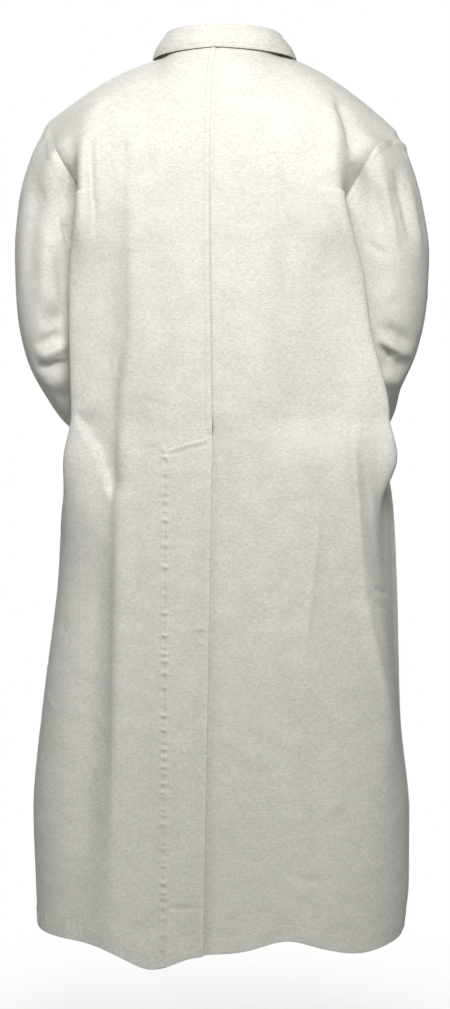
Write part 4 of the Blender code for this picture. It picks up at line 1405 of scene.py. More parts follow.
@dataclass
class BackLeft(Panel):
    """Left back, which laps over the right one at the vent and is stitched beside the seam."""

    vent_top: float = -0.545
    vent_fade: float = 0.006
    swing: float = 0.010
    seam_stitch_in: float = 0.0075
    band_lift: float = 0.0004
    vent_groove: float = 0.0004
    # The stitches that hold the vent's facing, from the seam out along its slanting top and down
    vent_line: tuple[tuple[float, float], ...] = (
        (-0.004, -0.542), (0.010, -0.548), (0.027, -0.552), (0.048, -0.558), (0.0615, -0.564),
        (0.0600, -0.575), (0.0600, -0.717), (0.0615, -0.995), (0.0610, -1.300))
    vent_puckers: Puckers = Puckers(0.0118, 0.0025, 0.0048, 0.0034, 3)
    curl: float = 0.0042
    curl_reach: float = 0.016
    curl_fade: float = 0.050
    # The slanting stitches gather the cloth less, up to this run along the line
    slant_run: float = 0.066
    slant_share: float = 0.15
    # The waves beside the slant as their distance from it, width and height
    slant_waves: tuple[tuple[float, float, float], ...] = (
        (0.0050, 0.0028, 0.0015), (0.0105, 0.0034, -0.0008))
    wave_run: float = 0.072
    wave_fade: float = 0.012
    down_start_z: float = -0.566

    def first_share(self, at: Array, lengths: Array) -> Array:
        """Swings the first column off the centre line below the vent's top."""
        height = BODY_TABLE.read(at)["back_z"][:, 0]
        below = np.clip((self.vent_top - height) / (self.vent_top - height[0]), 0.0, 1.0)
        return self.swing * below / lengths

    def vent_place(self, grid: ClothGrid) -> tuple[Array, Array, Array]:
        """Signed distance from the vent's stitches, the run along them, and which side is faced."""
        spots = grid.points[..., [0, 2]].reshape(-1, 2)
        distance, run, left = nearest_on_path(spots, np.array(self.vent_line))
        shape = grid.points.shape[:2]
        return distance.reshape(shape), run.reshape(shape), ~left.reshape(shape)

    def own_relief(self, grid: ClothGrid, shares: Array, lengths: Array) -> Array:
        """Centre seam, vent facing, the puckers of its stitches and the ridges at its slant."""
        z = grid.points[..., 2]
        from_edge = grid.across - grid.across[:, :1]
        above = smoothstep((z - self.vent_top) / self.vent_fade)
        centre = above * self.seam.raised(from_edge, self.seam_stitch_in)
        centre += above * self.seam_puckers.heights(from_edge - self.seam_stitch_in, grid.along)
        distance, run, faced = self.vent_place(grid)
        band = np.where(faced, smoothstep(distance / self.seam.band_ease), 0.0) * self.band_lift
        edge = -self.seam.edge_round * bell(from_edge, self.seam.edge_width) * (1.0 - above)
        opened = smoothstep((self.vent_top - z) / self.curl_fade)
        curl = self.curl * opened * bell(from_edge, self.curl_reach)
        groove = -self.vent_groove * bell(distance, self.seam.groove_width)
        gathered = np.where(run < self.slant_run, self.slant_share, 1.0)
        puckers = gathered * self.vent_puckers.heights(distance, run)
        ends = smoothstep(run / self.wave_fade) * smoothstep((self.wave_run - run) / self.wave_fade)
        waves = sum(height * bell(distance - place, width) for place, width, height in self.slant_waves)
        return centre + band + edge + curl + groove + puckers + np.where(faced, waves * ends, 0.0)

    def stitch_lines(self, grid: ClothGrid, shares: Array, lengths: Array) -> list[tuple[Array, Array]]:
        """Adds the stitches beside the centre seam and round the vent's facing."""
        lines = super().stitch_lines(grid, shares, lengths)
        from_edge = grid.across - grid.across[:, :1]
        height = grid.points[:, 0, 2]
        above = np.flatnonzero(height > self.vent_top)[:-1]
        lines.append(self.line_up(grid, -from_edge, -self.seam_stitch_in, above))
        path = Crease(self.vent_line, 0.01, 0.0).smooth_path()
        down = path[np.argmax(path[:, 1] < self.down_start_z):]
        rows = np.flatnonzero((height < down[0, 1]) & (height > BODY_TABLE.rows[0][1]))
        wanted = np.interp(-height[rows], -down[:, 1], down[:, 0])
        order = np.arange(grid.points.shape[1])
        columns = np.array([np.interp(w, grid.points[r, :, 0], order) for w, r in zip(wanted, rows)])
        lines.append(grid.sample(rows.astype(float), columns))
        slant = np.array(self.vent_line[:5])
        x = grid.points[len(rows), :, 0]
        slant_columns = np.flatnonzero((x > slant[0, 0]) & (x < slant[-1, 0]))
        wanted_z = np.interp(x[slant_columns], slant[:, 0], slant[:, 1])
        up = np.arange(grid.points.shape[0])
        slant_rows = np.array([np.interp(w, grid.points[:, c, 2], up)
                               for w, c in zip(wanted_z, slant_columns)])
        lines.append(grid.sample(slant_rows, slant_columns.astype(float)))
        return lines


@dataclass
class BackRight(Panel):
    """Right back, with the underlap of the vent, which lies lower than the left back."""

    vent_top: float = -0.545
    vent_fade: float = 0.006
    underlap: float = 0.062
    slant_drop: float = 0.022
    lap_drop: float = 0.0044
    vent_ease: float = 0.070
    vent_rise: float = 0.034

    def first_share(self, at: Array, lengths: Array) -> Array:
        """Takes the first column out under the left back below the slant."""
        height = BODY_TABLE.read(at)["back_z"][:, 0]
        out = smoothstep((self.vent_top - height) / self.slant_drop)
        return -self.underlap * out / lengths

    def own_relief(self, grid: ClothGrid, shares: Array, lengths: Array) -> Array:
        """Drop of the underlap, and the seam edge that goes in under the left back above it."""
        x, z = grid.points[..., 0], grid.points[..., 2]
        lengthwise = smoothstep(1.0 - (z - self.vent_top) / self.vent_rise)
        crosswise = smoothstep(1.0 + x / self.vent_ease)
        from_edge = shares * lengths
        above = smoothstep((z - self.vent_top) / self.vent_fade)
        tuck = self.seam.tucked(from_edge)
        tuck = tuck - self.seam.centre_tuck * bell(from_edge, self.seam.centre_tuck_reach)
        return above * tuck - self.lap_drop * lengthwise * crosswise


@dataclass
class FrontPanel(Panel):
    """A front, with its lap past the centre and, on the right, its drop under the left."""

    lap: float = 0.026
    lap_drop: float = 0.0034
    ease: float = 0.030
    under_reach: float = 0.048
    edge_stitch_in: float = 0.007

    def first_share(self, at: Array, lengths: Array) -> Array:
        """Puts the first column at the lap's edge, past the centre."""
        return -self.lap / lengths

    def own_relief(self, grid: ClothGrid, shares: Array, lengths: Array) -> Array:
        """Folded front edge with its stitches, and the drop of the front that lies under."""
        from_edge = (shares - shares[:, :1]) * lengths
        edge = self.seam.raised(from_edge, self.edge_stitch_in)
        if self.side is Side.RIGHT:
            past_lap = -grid.points[..., 0] - self.under_reach
            edge = edge - self.lap_drop * smoothstep(1.0 - past_lap / self.ease)
        return edge

    def stitch_lines(self, grid: ClothGrid, shares: Array, lengths: Array) -> list[tuple[Array, Array]]:
        """Adds the stitches along the front edge."""
        lines = super().stitch_lines(grid, shares, lengths)
        from_edge = (shares - shares[:, :1]) * lengths
        rows = np.arange(4, len(shares) - 4)
        lines.append(self.line_up(grid, -from_edge, -self.edge_stitch_in, rows))
        return lines


# Creases of the sleeves: degrees round the arm from its outer line towards the back, and metres
# down the sleeve from the armhole
SLEEVE_CREASES = {
    Side.LEFT: (
        ((84, 0.030), (88, 0.090), (88, 0.164), (84, 0.215), 0.0120, 0.0034),
        ((58, 0.030), (65, 0.100), (63, 0.190), 0.0150, -0.0036),
        ((94, 0.044), (104, 0.054), (116, 0.066), 0.0060, -0.0070),
        ((88, 0.052), (99, 0.062), (106, 0.078), 0.0050, 0.0030),
        ((103, 0.066), (110, 0.100), (116, 0.150), (118, 0.190), 0.0130, -0.0100),
        ((80, 0.200), (104, 0.186), (126, 0.172), 0.0150, -0.0085),
        ((68, 0.226), (94, 0.213), (124, 0.196), 0.0070, -0.0080),
        ((64, 0.234), (96, 0.223), (128, 0.208), 0.0070, 0.0075),
        ((56, 0.248), (91, 0.239), (126, 0.231), 0.0042, -0.0070),
        ((58, 0.262), (92, 0.254), (126, 0.246), 0.0080, 0.0040),
        ((74, 0.282), (97, 0.272), (122, 0.270), 0.0080, -0.0036),
    ),
    Side.RIGHT: (
        ((38, 0.004), (23, 0.020), (0, 0.042), 0.0050, -0.0052),
        ((28, 0.004), (14, 0.020), (-8, 0.034), 0.0060, 0.0042),
        ((54, 0.010), (64, 0.038), (69, 0.080), (66, 0.130), 0.0080, 0.0042),
        ((70, 0.015), (78, 0.045), (84, 0.095), 0.0085, -0.0040),
        ((42, 0.026), (49, 0.069), (48, 0.125), 0.0080, -0.0042),
        ((28, 0.036), (33, 0.090), (33, 0.155), 0.0100, 0.0032),
        ((108, 0.054), (96, 0.083), (78, 0.117), 0.0042, -0.0030),
        ((102, 0.185), (72, 0.206), (34, 0.227), 0.0080, -0.0085),
        ((104, 0.199), (70, 0.217), (32, 0.237), 0.0064, 0.0078),
        ((100, 0.207), (82, 0.221), (64, 0.230), 0.0046, -0.0064),
        ((102, 0.221), (66, 0.234), (32, 0.251), 0.0080, -0.0066),
        ((100, 0.240), (64, 0.250), (36, 0.269), 0.0075, 0.0042),
    ),
}

# Creases of the inner bend and the forearm, for both sleeves, where the photograph hides them
HIDDEN_SLEEVE_CREASES = (
    ((236, 0.200), (270, 0.222), (308, 0.214), 0.0075, -0.0050),
    ((230, 0.224), (268, 0.236), (312, 0.232), 0.0062, 0.0040),
    ((228, 0.240), (270, 0.250), (316, 0.250), 0.0070, -0.0052),
    ((236, 0.262), (268, 0.268), (306, 0.272), 0.0060, 0.0034),
    ((240, 0.284), (276, 0.288), (312, 0.296), 0.0070, -0.0034),
    ((200, 0.214), (182, 0.232), (160, 0.238), 0.0080, -0.0030),
    ((204, 0.250), (180, 0.262), (150, 0.262), 0.0075, -0.0028),
    ((300, 0.050), (292, 0.110), (296, 0.180), 0.0120, -0.0024),
    ((330, 0.060), (324, 0.130), (330, 0.200), 0.0130, 0.0022),
    ((60, 0.310), (120, 0.330), (170, 0.322), 0.0080, -0.0020),
    ((300, 0.330), (340, 0.352), (370, 0.350), 0.0075, 0.0018),
    ((90, 0.372), (130, 0.392), (176, 0.388), 0.0070, -0.0018),
    ((0, 0.380), (38, 0.398), (70, 0.396), 0.0070, -0.0016),
    ((210, 0.400), (250, 0.420), (300, 0.416), 0.0065, -0.0018),
)

# The armhole seam: degrees round the arm and metres down from the join
SLEEVE_SEAMS = {
    Side.LEFT: ((0, 0.013), (55, 0.018), (66, 0.016), (77, 0.020), (86, 0.018), (94, 0.014), (130, 0.009),
                (180, 0.006), (270, 0.009)),
    Side.RIGHT: ((0, 0.006), (35, 0.012), (58, 0.007), (90, 0.007), (130, 0.007), (180, 0.006), (270, 0.009)),
}


@dataclass
class Sleeve:
    """A plain sleeve, set into the dropped armhole and bent forward at the elbow."""

    side: Side
    flat: tuple[float, float]
    area: float
    rumple: Rumple
    rows: int = 250
    columns: int = 150
    wall: float = 0.0013
    armhole_fade: float = 2.0
    # Width of the cloth all round on the UV map
    cloth_turn: float = 0.5
    # Row of the table where the threads run square to the arm
    bend_row: float = 4.5
    cuff_depth: float = 0.025
    chart_radius: float = 0.078
    seam: SeamShape = field(default_factory=SeamShape)
    form: BodyForm = field(default_factory=BodyForm)
    crease_fade: float = 0.4
    crease_hold_reach: float = 0.012
    seam_band: float = 0.0065
    seam_lift: float = 0.0005
    # Depth of the groove past the seam, its distance and its width
    seam_groove: tuple[float, float, float] = (0.0004, 0.0016, 0.0018)
    seam_stitch_in: float = 0.0042
    stitch_rows_apart: float = 0.0062
    # The stitches of the armhole seam stay past this row of the grid
    first_stitch_row: float = 0.6
    seam_puckers: Puckers = Puckers(0.0100, 0.0026, 0.0060, 0.0009, 29)
    cuff_puckers: Puckers = Puckers(0.012, 0.0028, 0.006, 0.0004, 23)
    join_tuck: float = 0.0003
    join_tuck_reach: float = 0.004

    @property
    def name(self) -> str:
        """Name of the CAD node that the sleeve stands for."""
        return f"sleeve_{self.side.value}"

    def edge(self, back: ClothGrid, front: ClothGrid, below: int) -> Array:
        """Edge of the armhole, from the shoulder tip down the back and up the front, evenly spaced."""
        half = self.columns // 2

        def spread(line: Array) -> Array:
            """Even steps along a line."""
            run = run_length(line)
            wanted = np.linspace(0.0, run[-1], half + 1)
            return np.stack([np.interp(wanted, run, line[:, k]) for k in range(3)], axis=-1)

        rear, fore = back.points[below:, -1][::-1], front.points[below:, -1]
        return np.concatenate([spread(rear)[:-1], spread(fore)[:-1]])

    def stops(self) -> Array:
        """Fractional row numbers at even steps down the middle of the sleeve."""
        fine = np.linspace(0.0, len(SLEEVE_TABLES[self.side].rows) - 1.0, 2001)
        ring = SLEEVE_TABLES[self.side].read(fine)
        twice = np.hstack([ring["outer_x"] + ring["inner_x"], 2 * ring["y"],
                           ring["outer_z"] + ring["inner_z"]])
        run = run_length(twice / 2)
        return np.interp(np.linspace(0.0, run[-1], self.rows + 1), run, fine)

    def base(self, edge: Array) -> tuple[ClothGrid, Array, Array]:
        """Lays out the sleeve as rings of ellipses that turn forwards round the elbow.

        A ring's point is its centre, plus the cosine of the angle times half the width outwards,
        plus the sine times the half depth backwards. The first rings ease off the armhole edge.

        Args:
            edge: Points of the armhole edge.

        Returns:
            The grid, the angle of each column in degrees and the run down the sleeve of each row.
        """
        at = self.stops()
        ring = SLEEVE_TABLES[self.side].read(at)
        still = np.zeros_like(ring["y"])
        outer = np.hstack([ring["outer_x"], ring["y"], ring["outer_z"]])
        inner = np.hstack([ring["inner_x"], ring["y"], ring["inner_z"]])
        centre, reach = (outer + inner) / 2.0, (outer - inner) / 2.0
        out = unit(reach)
        turned = np.radians(ring["turned"])
        down = np.hstack([out[:, 2:], still, -out[:, :1]])
        back = np.hstack([still, np.cos(turned), still]) + down * np.sin(turned)
        angle = np.linspace(0.0, 2.0 * math.pi, self.columns, endpoint=False)
        points = (centre[:, None] + reach[:, None] * np.cos(angle)[None, :, None]
                  + back[:, None] * (ring["deep"] * np.sin(angle))[..., None])
        points = points * (self.side.sign, 1.0, 1.0)
        fade = np.clip(1.0 - at / self.armhole_fade, 0.0, 1.0) ** 2
        head = self.form.sleeve_head(edge[:, 2]) * np.sign(edge[:, 1])
        points = points + (edge - head[:, None] * (0.0, 1.0, 0.0) - points[0])[None] * fade[:, None, None]
        down_sleeve = run_length(points, axis=0)
        points[..., 1] += head * smoothstep(1.0 - down_sleeve / self.form.head_sleeve_reach)
        middle = points.mean(axis=1, keepdims=True)
        normals = grid_normals(points, points - middle, ring=True)
        run = run_length(middle[:, 0])
        across = np.repeat((np.degrees(angle) / 360.0 * self.cloth_turn)[None], len(at), axis=0)
        along = run_length(points, axis=0)
        grid = ClothGrid(points, normals, across, along, ring=True, turn=self.cloth_turn)
        return grid, np.degrees(angle), run

    def relief(self, grid: ClothGrid, degrees: Array, run: Array) -> Array:
        """Adds up the creases, rumples, armhole edge and cuff hem of the sleeve.

        Args:
            grid: The sleeve without relief.
            degrees: Angle of each column.
            run: Run of each row.

        Returns:
            Heights along the normals.
        """
        per_degree = math.radians(1.0) * self.chart_radius
        v = np.repeat(run[:, None], len(degrees), axis=1)
        heights = np.zeros_like(v)
        for around in (-360.0, 0.0, 360.0):
            u = (degrees[None] + around) * per_degree * np.ones_like(v)
            for *path, width, height in SLEEVE_CREASES[self.side] + HIDDEN_SLEEVE_CREASES:
                metric = tuple((angle * per_degree, down) for angle, down in path)
                heights += Crease(metric, width, height, fade=self.crease_fade).heights(u, v)
        heights += self.rumple.heights(degrees[None] * per_degree * np.ones_like(v), v)
        heights *= smoothstep(v / self.crease_hold_reach)
        to_cuff = grid.along[-1:] - grid.along
        cuff = self.seam.raised(to_cuff, self.cuff_depth)
        cuff = cuff + self.cuff_puckers.heights(to_cuff - self.cuff_depth, grid.across)
        past = grid.along - self.seam_run(degrees)
        ease = self.seam.band_ease
        band = smoothstep((past + self.seam_band) / ease) * (1.0 - smoothstep(past / ease))
        depth, place, width = self.seam_groove
        armhole = self.seam_lift * band - depth * bell(past - place, width)
        armhole += self.seam_puckers.heights(past + self.seam_stitch_in, grid.across)
        tuck = -self.join_tuck * (1.0 - smoothstep(grid.along / self.join_tuck_reach))
        return heights + cuff + armhole + tuck

    def seam_run(self, degrees: Array) -> Array:
        """How far down from the join the armhole seam lies, by the angle round the arm."""
        angles, runs = zip(*SLEEVE_SEAMS[self.side])
        return np.interp(degrees, angles, runs, period=360.0)

    def build(self, wardrobe: Wardrobe, back: ClothGrid, front: ClothGrid, below: int) -> None:
        """Makes the sleeve, with the stitches of its cuff hem and of its armhole seam.

        Args:
            wardrobe: The finishes.
            back: Finished outer face of the back beside it.
            front: Finished outer face of the front beside it.
            below: Number of level rows up to the underarm.
        """
        grid, degrees, run = self.base(self.edge(back, front, below))
        heights = self.relief(grid, degrees, run)
        outer = grid.moved(heights)
        bend = int(np.searchsorted(self.stops(), self.bend_row))
        woven = replace(outer, along=outer.along - outer.along[bend])
        piece = cloth_mesh(self.name + "_cloth", woven, grid, heights, self.wall)
        settle(piece, wardrobe.canvas, (self.name,))
        to_cuff = outer.along[-1:] - outer.along
        order = np.arange(len(run))
        rows = np.array([np.interp(-self.cuff_depth, -to_cuff[:, c % self.columns], order)
                         for c in range(self.columns + 1)])
        every = np.arange(self.columns + 1).astype(float)
        lines = [outer.sample(rows, every)]
        for stitch_in in (self.seam_stitch_in, self.seam_stitch_in - self.stitch_rows_apart):
            wanted = np.append(self.seam_run(degrees), self.seam_run(degrees[:1])) - stitch_in
            rows = np.array([np.interp(w, outer.along[:, c % self.columns], order)
                             for c, w in enumerate(wanted)])
            lines.append(outer.sample(np.maximum(rows, self.first_stitch_row), every))
        stitches = stitch_object(self.name + "_stitches", Thread(seed=9), lines)
        settle(stitches, wardrobe.thread)


@dataclass
class Collar:
    """The turned-down collar, from its seam up the stand, over the roll and down the fall."""

    flat: tuple[float, float] = (0.560, 0.120)
    area: float = 0.050
    columns: int = 300
    stand_rows: int = 10
    roll_rows: int = 14
    fall_rows: int = 30
    wall: float = 0.0020
    stand_gap: float = 0.0028
    roll_radius: float = 0.0036
    stand_lean: float = 0.0034
    crown: float = 0.0030
    # Where past the neck seam the creases of the fall begin, and how soon they have their height
    fall_start: float = 0.030
    fall_fade: float = 0.010
    edge_hold_reach: float = 0.008
    edge_round: float = 0.0007
    edge_width: float = 0.0014
    edge_stitch_in: float = 0.006
    groove: float = 0.00025
    groove_width: float = 0.0016
    form: BodyForm = field(default_factory=BodyForm)
    rumple: Rumple = Rumple(46, 0.00045, 41, (-0.26, 0.03), (0.26, 0.11), (0.012, 0.040), (0.003, 0.006))
    creases: tuple[Crease, ...] = (
        Crease(((-0.120, 0.050), (-0.126, 0.086)), 0.0060, -0.0007, fade=0.5),
        Crease(((-0.040, 0.046), (-0.052, 0.080)), 0.0070, 0.0006, fade=0.5),
        Crease(((0.060, 0.048), (0.052, 0.084)), 0.0070, -0.0006, fade=0.5),
        Crease(((0.135, 0.050), (0.120, 0.090)), 0.0060, 0.0007, fade=0.5),
    )

    def neck(self, angle: Array) -> tuple[Array, Array, Array, Array]:
        """Neck seam at angles from the back: an ellipse, with its outward direction in plan."""
        front = np.cos(angle) < 0.0
        depth = np.where(front, self.form.neck_front, self.form.neck_back)
        share = np.abs(np.cos(angle))
        z = np.where(front, self.form.neck_height(Face.FRONT, share), self.form.neck_height(Face.BACK, share))
        outwards = unit(np.stack([np.sin(angle) / self.form.neck_half, np.cos(angle) / depth], axis=-1))
        return self.form.neck_half * np.sin(angle), depth * np.cos(angle), z, outwards

    def base(self) -> ClothGrid:
        """Lays out the collar, columns round the neck and rows from the seam to the free edge.

        The stand leans in from the seam to the roll, the roll is half a circle, and the fall
        goes down to the free edge with a crown of a sine.

        Returns:
            The grid.
        """
        last = COLLAR_ANGLES[-1]
        angle = np.linspace(-last, last, self.columns + 1)
        at = np.interp(np.abs(angle), COLLAR_ANGLES, np.arange(len(COLLAR_ANGLES)))
        line = COLLAR_TABLE.read(at)
        x, y, seam_z, outwards = self.neck(np.radians(angle))
        seam_z = seam_z[:, None] + self.stand_gap
        up = np.linspace(0.0, 1.0, self.stand_rows + 1)[:-1]
        stand_top = line["fold_z"] - self.roll_radius
        stand_out = -self.stand_lean + (line["fold_out"] - self.roll_radius + self.stand_lean) * up
        turn = np.linspace(math.pi, 0.0, self.roll_rows + 1)[None, :]
        down = np.linspace(0.0, 1.0, self.fall_rows + 1)[1:]
        start = line["fold_out"] + self.roll_radius
        fall_out = start + (line["edge_out"] - start) * down + self.crown * np.sin(math.pi * down)
        fall_out = fall_out - line["press"] * down ** 2
        distance = np.hstack([stand_out, line["fold_out"] + self.roll_radius * np.cos(turn), fall_out])
        height = np.hstack([seam_z + (stand_top - seam_z) * up, stand_top + self.roll_radius * np.sin(turn),
                            stand_top + (line["edge_z"] - stand_top) * down])
        points = np.stack([x[:, None] + outwards[:, :1] * distance,
                           y[:, None] + outwards[:, 1:] * distance, height], axis=-1)
        normals = grid_normals(points, np.array([0.0, 0.0, 1.0]))
        normals = normals * np.sign(normals[self.columns // 2, -1, 1])
        middle = points[:, self.stand_rows + self.roll_rows]
        around = run_length(middle)[:, None] * np.ones_like(height)
        around = around - around[self.columns // 2]
        return ClothGrid(points, normals, run_length(points, axis=1), around)

    def build(self, wardrobe: Wardrobe) -> None:
        """Makes the collar with its soft creases, folded edge and fine edge stitches."""
        grid = self.base()
        to_edge = grid.across[:, -1:] - grid.across
        to_end = np.minimum(grid.along - grid.along[:1], grid.along[-1:] - grid.along)
        rim = np.minimum(to_edge, to_end)
        fall = smoothstep((grid.across - self.fall_start) / self.fall_fade)
        heights = sum(crease.heights(grid.along, grid.across) for crease in self.creases) * fall
        worn = self.rumple.heights(grid.along, grid.across)
        heights = heights + worn * smoothstep(to_edge / self.edge_hold_reach)
        heights = heights - self.edge_round * bell(rim, self.edge_width)
        heights = heights - self.groove * bell(rim - self.edge_stitch_in, self.groove_width) * fall
        outer = grid.moved(heights)
        piece = cloth_mesh("collar_cloth", outer, grid, heights, self.wall)
        settle(piece, wardrobe.collar_canvas, ("collar",))
        columns = np.arange(4, self.columns - 3)
        order = np.arange(outer.points.shape[1])
        where = np.array([np.interp(-self.edge_stitch_in, -to_edge[c], order) for c in columns])
        line = outer.sample(columns.astype(float), where)
        stitches = stitch_object("collar_stitches", Thread(radius=0.00022, seed=13), [line])
        settle(stitches, wardrobe.thread)


@dataclass
class Buttons:
    """Four-hole buttons down the closing, each sewn on with two bars of doubled thread."""

    count: int = 5
    radius: float = 0.0115
    thick: float = 0.0036
    dish: float = 0.0009
    rim: float = 0.0024
    hole_radius: float = 0.0011
    hole_out: float = 0.0019
    sides: int = 48
    # Each button is sewn on a bit more turned than the one above it
    turn_step: float = 0.35
    sharp: float = math.radians(35.0)
    bar_radius: float = 0.00045
    bar_extra: float = 0.0008
    bar_over: float = 0.0002
    bar_half_gap: float = 0.0003
    # The buttonhole's half length, then its stitches: their length, how many on each side, their
    # thread's radius, how far they stand out and how far off the slit's middle they begin
    slit_half: float = 0.0145
    slit_stitch: float = 0.0022
    slit_count: int = 58
    slit_thread: float = 0.00026
    slit_over: float = 0.0001
    slit_half_gap: float = 0.0003

    def profile(self) -> Array:
        """Half outline of a button as distance from its axis and height over its back."""
        r, t, rim, dish = self.radius, self.thick, self.rim, self.dish
        return np.array([
            [0.0, t - dish], [r - 2 * rim, t - dish], [r - 1.6 * rim, t - 0.8 * dish],
            [r - 1.2 * rim, t - 0.1 * dish], [r - 0.9 * rim, t], [r - 0.5 * rim, t - 0.0001],
            [r - 0.2 * rim, t - 0.0006], [r, t - 0.0015], [r - 0.0002, 0.0009], [r - 0.001, 0.0002],
            [r - 0.0025, 0.0], [0.0, 0.0]])

    def disc(self) -> bpy.types.Mesh:
        """Turns the outline round its axis and has four holes cut through it.

        Returns:
            The mesh of one button, its face towards -Y and the middle of its back at the origin.
        """
        line = self.profile()
        angle = np.linspace(0.0, 2 * math.pi, self.sides, endpoint=False)
        rings = line[1:-1]
        circle = np.stack([np.cos(angle), np.sin(angle)], axis=-1)
        points = np.stack([rings[:, None, 0] * circle[None, :, 0], -rings[:, None, 1] * np.ones(self.sides),
                           rings[:, None, 0] * circle[None, :, 1]], axis=-1).reshape(-1, 3)
        poles = np.array([[0.0, -line[0, 1], 0.0], [0.0, -line[-1, 1], 0.0]])
        faces = ring_faces(len(rings), self.sides).tolist()
        last = (len(rings) - 1) * self.sides
        steps = [(k, (k + 1) % self.sides) for k in range(self.sides)]
        faces += [[len(points), n, k] for k, n in steps]
        faces += [[len(points) + 1, last + k, last + n] for k, n in steps]
        mesh = bpy.data.meshes.new("button_disc")
        mesh.from_pydata(np.vstack([points, poles]).tolist(), [], faces)
        shape = bmesh.new()
        shape.from_mesh(mesh)
        bmesh.ops.recalc_face_normals(shape, faces=shape.faces)
        shape.to_mesh(mesh)
        shape.free()
        return self.drilled(mesh)

    def drilled(self, mesh: bpy.types.Mesh) -> bpy.types.Mesh:
        """Cuts the four holes with straight pins, joined into one cutter.

        Args:
            mesh: The whole disc.

        Returns:
            The disc with its holes.
        """
        cutter = bmesh.new()
        for sx in (-1, 1):
            for sz in (-1, 1):
                made = bmesh.ops.create_cone(cutter, cap_ends=True, segments=16, radius1=self.hole_radius,
                                             radius2=self.hole_radius, depth=4 * self.thick)
                bmesh.ops.rotate(cutter, verts=made["verts"], cent=(0, 0, 0),
                                 matrix=Matrix.Rotation(math.pi / 2, 3, "X"))
                bmesh.ops.translate(cutter, verts=made["verts"],
                                    vec=(sx * self.hole_out, 0, sz * self.hole_out))
        pins_mesh = bpy.data.meshes.new("button_pins")
        cutter.to_mesh(pins_mesh)
        cutter.free()
        disc, pins = (linked(m.name, m) for m in (mesh, pins_mesh))
        cut = disc.modifiers.new("holes", "BOOLEAN")
        cut.operation, cut.solver, cut.object = "DIFFERENCE", "EXACT", pins
        bpy.context.view_layer.update()
        done = bpy.data.meshes.new_from_object(disc.evaluated_get(bpy.context.evaluated_depsgraph_get()))
        for thing in (disc, pins):
            bpy.data.objects.remove(thing)
        return done

    def sewing(self) -> tuple[Array, Array]:
        """Lays two bars of doubled thread over the holes.

        Returns:
            Vertices and faces, round the middle of the button's back.
        """
        reach = self.hole_out
        y = -(self.thick - self.dish) - self.bar_over
        thread = Thread(pitch=4 * reach, length=2 * reach + self.bar_extra, radius=self.bar_radius, sides=8)
        bars = []
        for sx in (-1.0, 1.0):
            for offset in (-self.bar_half_gap, self.bar_half_gap):
                x = sx * reach + offset
                line = np.array([[x, y, -2 * reach], [x, y, 2 * reach]])
                bars.append(thread.rings(line, np.tile([0.0, -1.0, 0.0], (2, 1))))
        return joined(bars)

    def build(self, wardrobe: Wardrobe, front: ClothGrid) -> None:
        """Places the buttons where their solids are and works a buttonhole behind each.

        Args:
            wardrobe: The finishes.
            front: The left front's finished outer face.
        """
        disc = self.disc()
        sew_v, sew_f = self.sewing()
        threads, holes = [], []
        for i in range(self.count):
            node = f"button_{i + 1}"
            low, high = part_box(node)
            middle = np.array([(low.x + high.x) / 2, high.y, (low.z + high.z) / 2])
            turn = self.turn_step * i
            spin = np.array([[math.cos(turn), 0.0, math.sin(turn)], [0.0, 1.0, 0.0],
                             [-math.sin(turn), 0.0, math.cos(turn)]])
            mesh = disc.copy()
            mesh.name = node + "_horn"
            points = np.zeros(len(mesh.vertices) * 3, dtype=np.float32)
            mesh.vertices.foreach_get("co", points)
            placed = points.reshape(-1, 3) @ spin + middle
            mesh.vertices.foreach_set("co", placed.astype(np.float32).ravel())
            mesh.shade_smooth()
            mesh.set_sharp_from_angle(angle=self.sharp)
            settle(linked(node + "_horn", mesh), wardrobe.horn, (node,))
            threads.append((sew_v @ spin + middle, sew_f))
            holes.append(self.buttonhole(front, middle))
        settle(thread_object("button_threads", threads + holes), wardrobe.thread)

    def buttonhole(self, front: ClothGrid, middle: Array) -> tuple[Array, Array]:
        """Satin stitches round a level slit, most of it behind the button.

        Args:
            front: The left front's finished outer face.
            middle: Middle of the button's back.

        Returns:
            Vertices and faces of the stitches.
        """
        stitch = self.slit_stitch
        thread = Thread(pitch=2 * stitch, length=stitch, radius=self.slit_thread, sides=4)
        row = front.points[np.argmin(np.abs(front.points[:, 0, 2] - middle[2]))]
        order = np.argsort(row[:, 0])
        x = np.linspace(-self.slit_half, self.slit_half, self.slit_count)
        y = np.interp(x, row[order, 0], row[order, 1]) - self.slit_over
        stitches = []
        for side in (-1.0, 1.0):
            z = middle[2] + side * (stitch / 2 + self.slit_half_gap)
            for px, py in zip(x, y):
                line = np.array([[px, py, z - stitch], [px, py, z + stitch]])
                stitches.append(thread.rings(line, np.tile([0.0, -1.0, 0.0], (2, 1))))
        return joined(stitches)


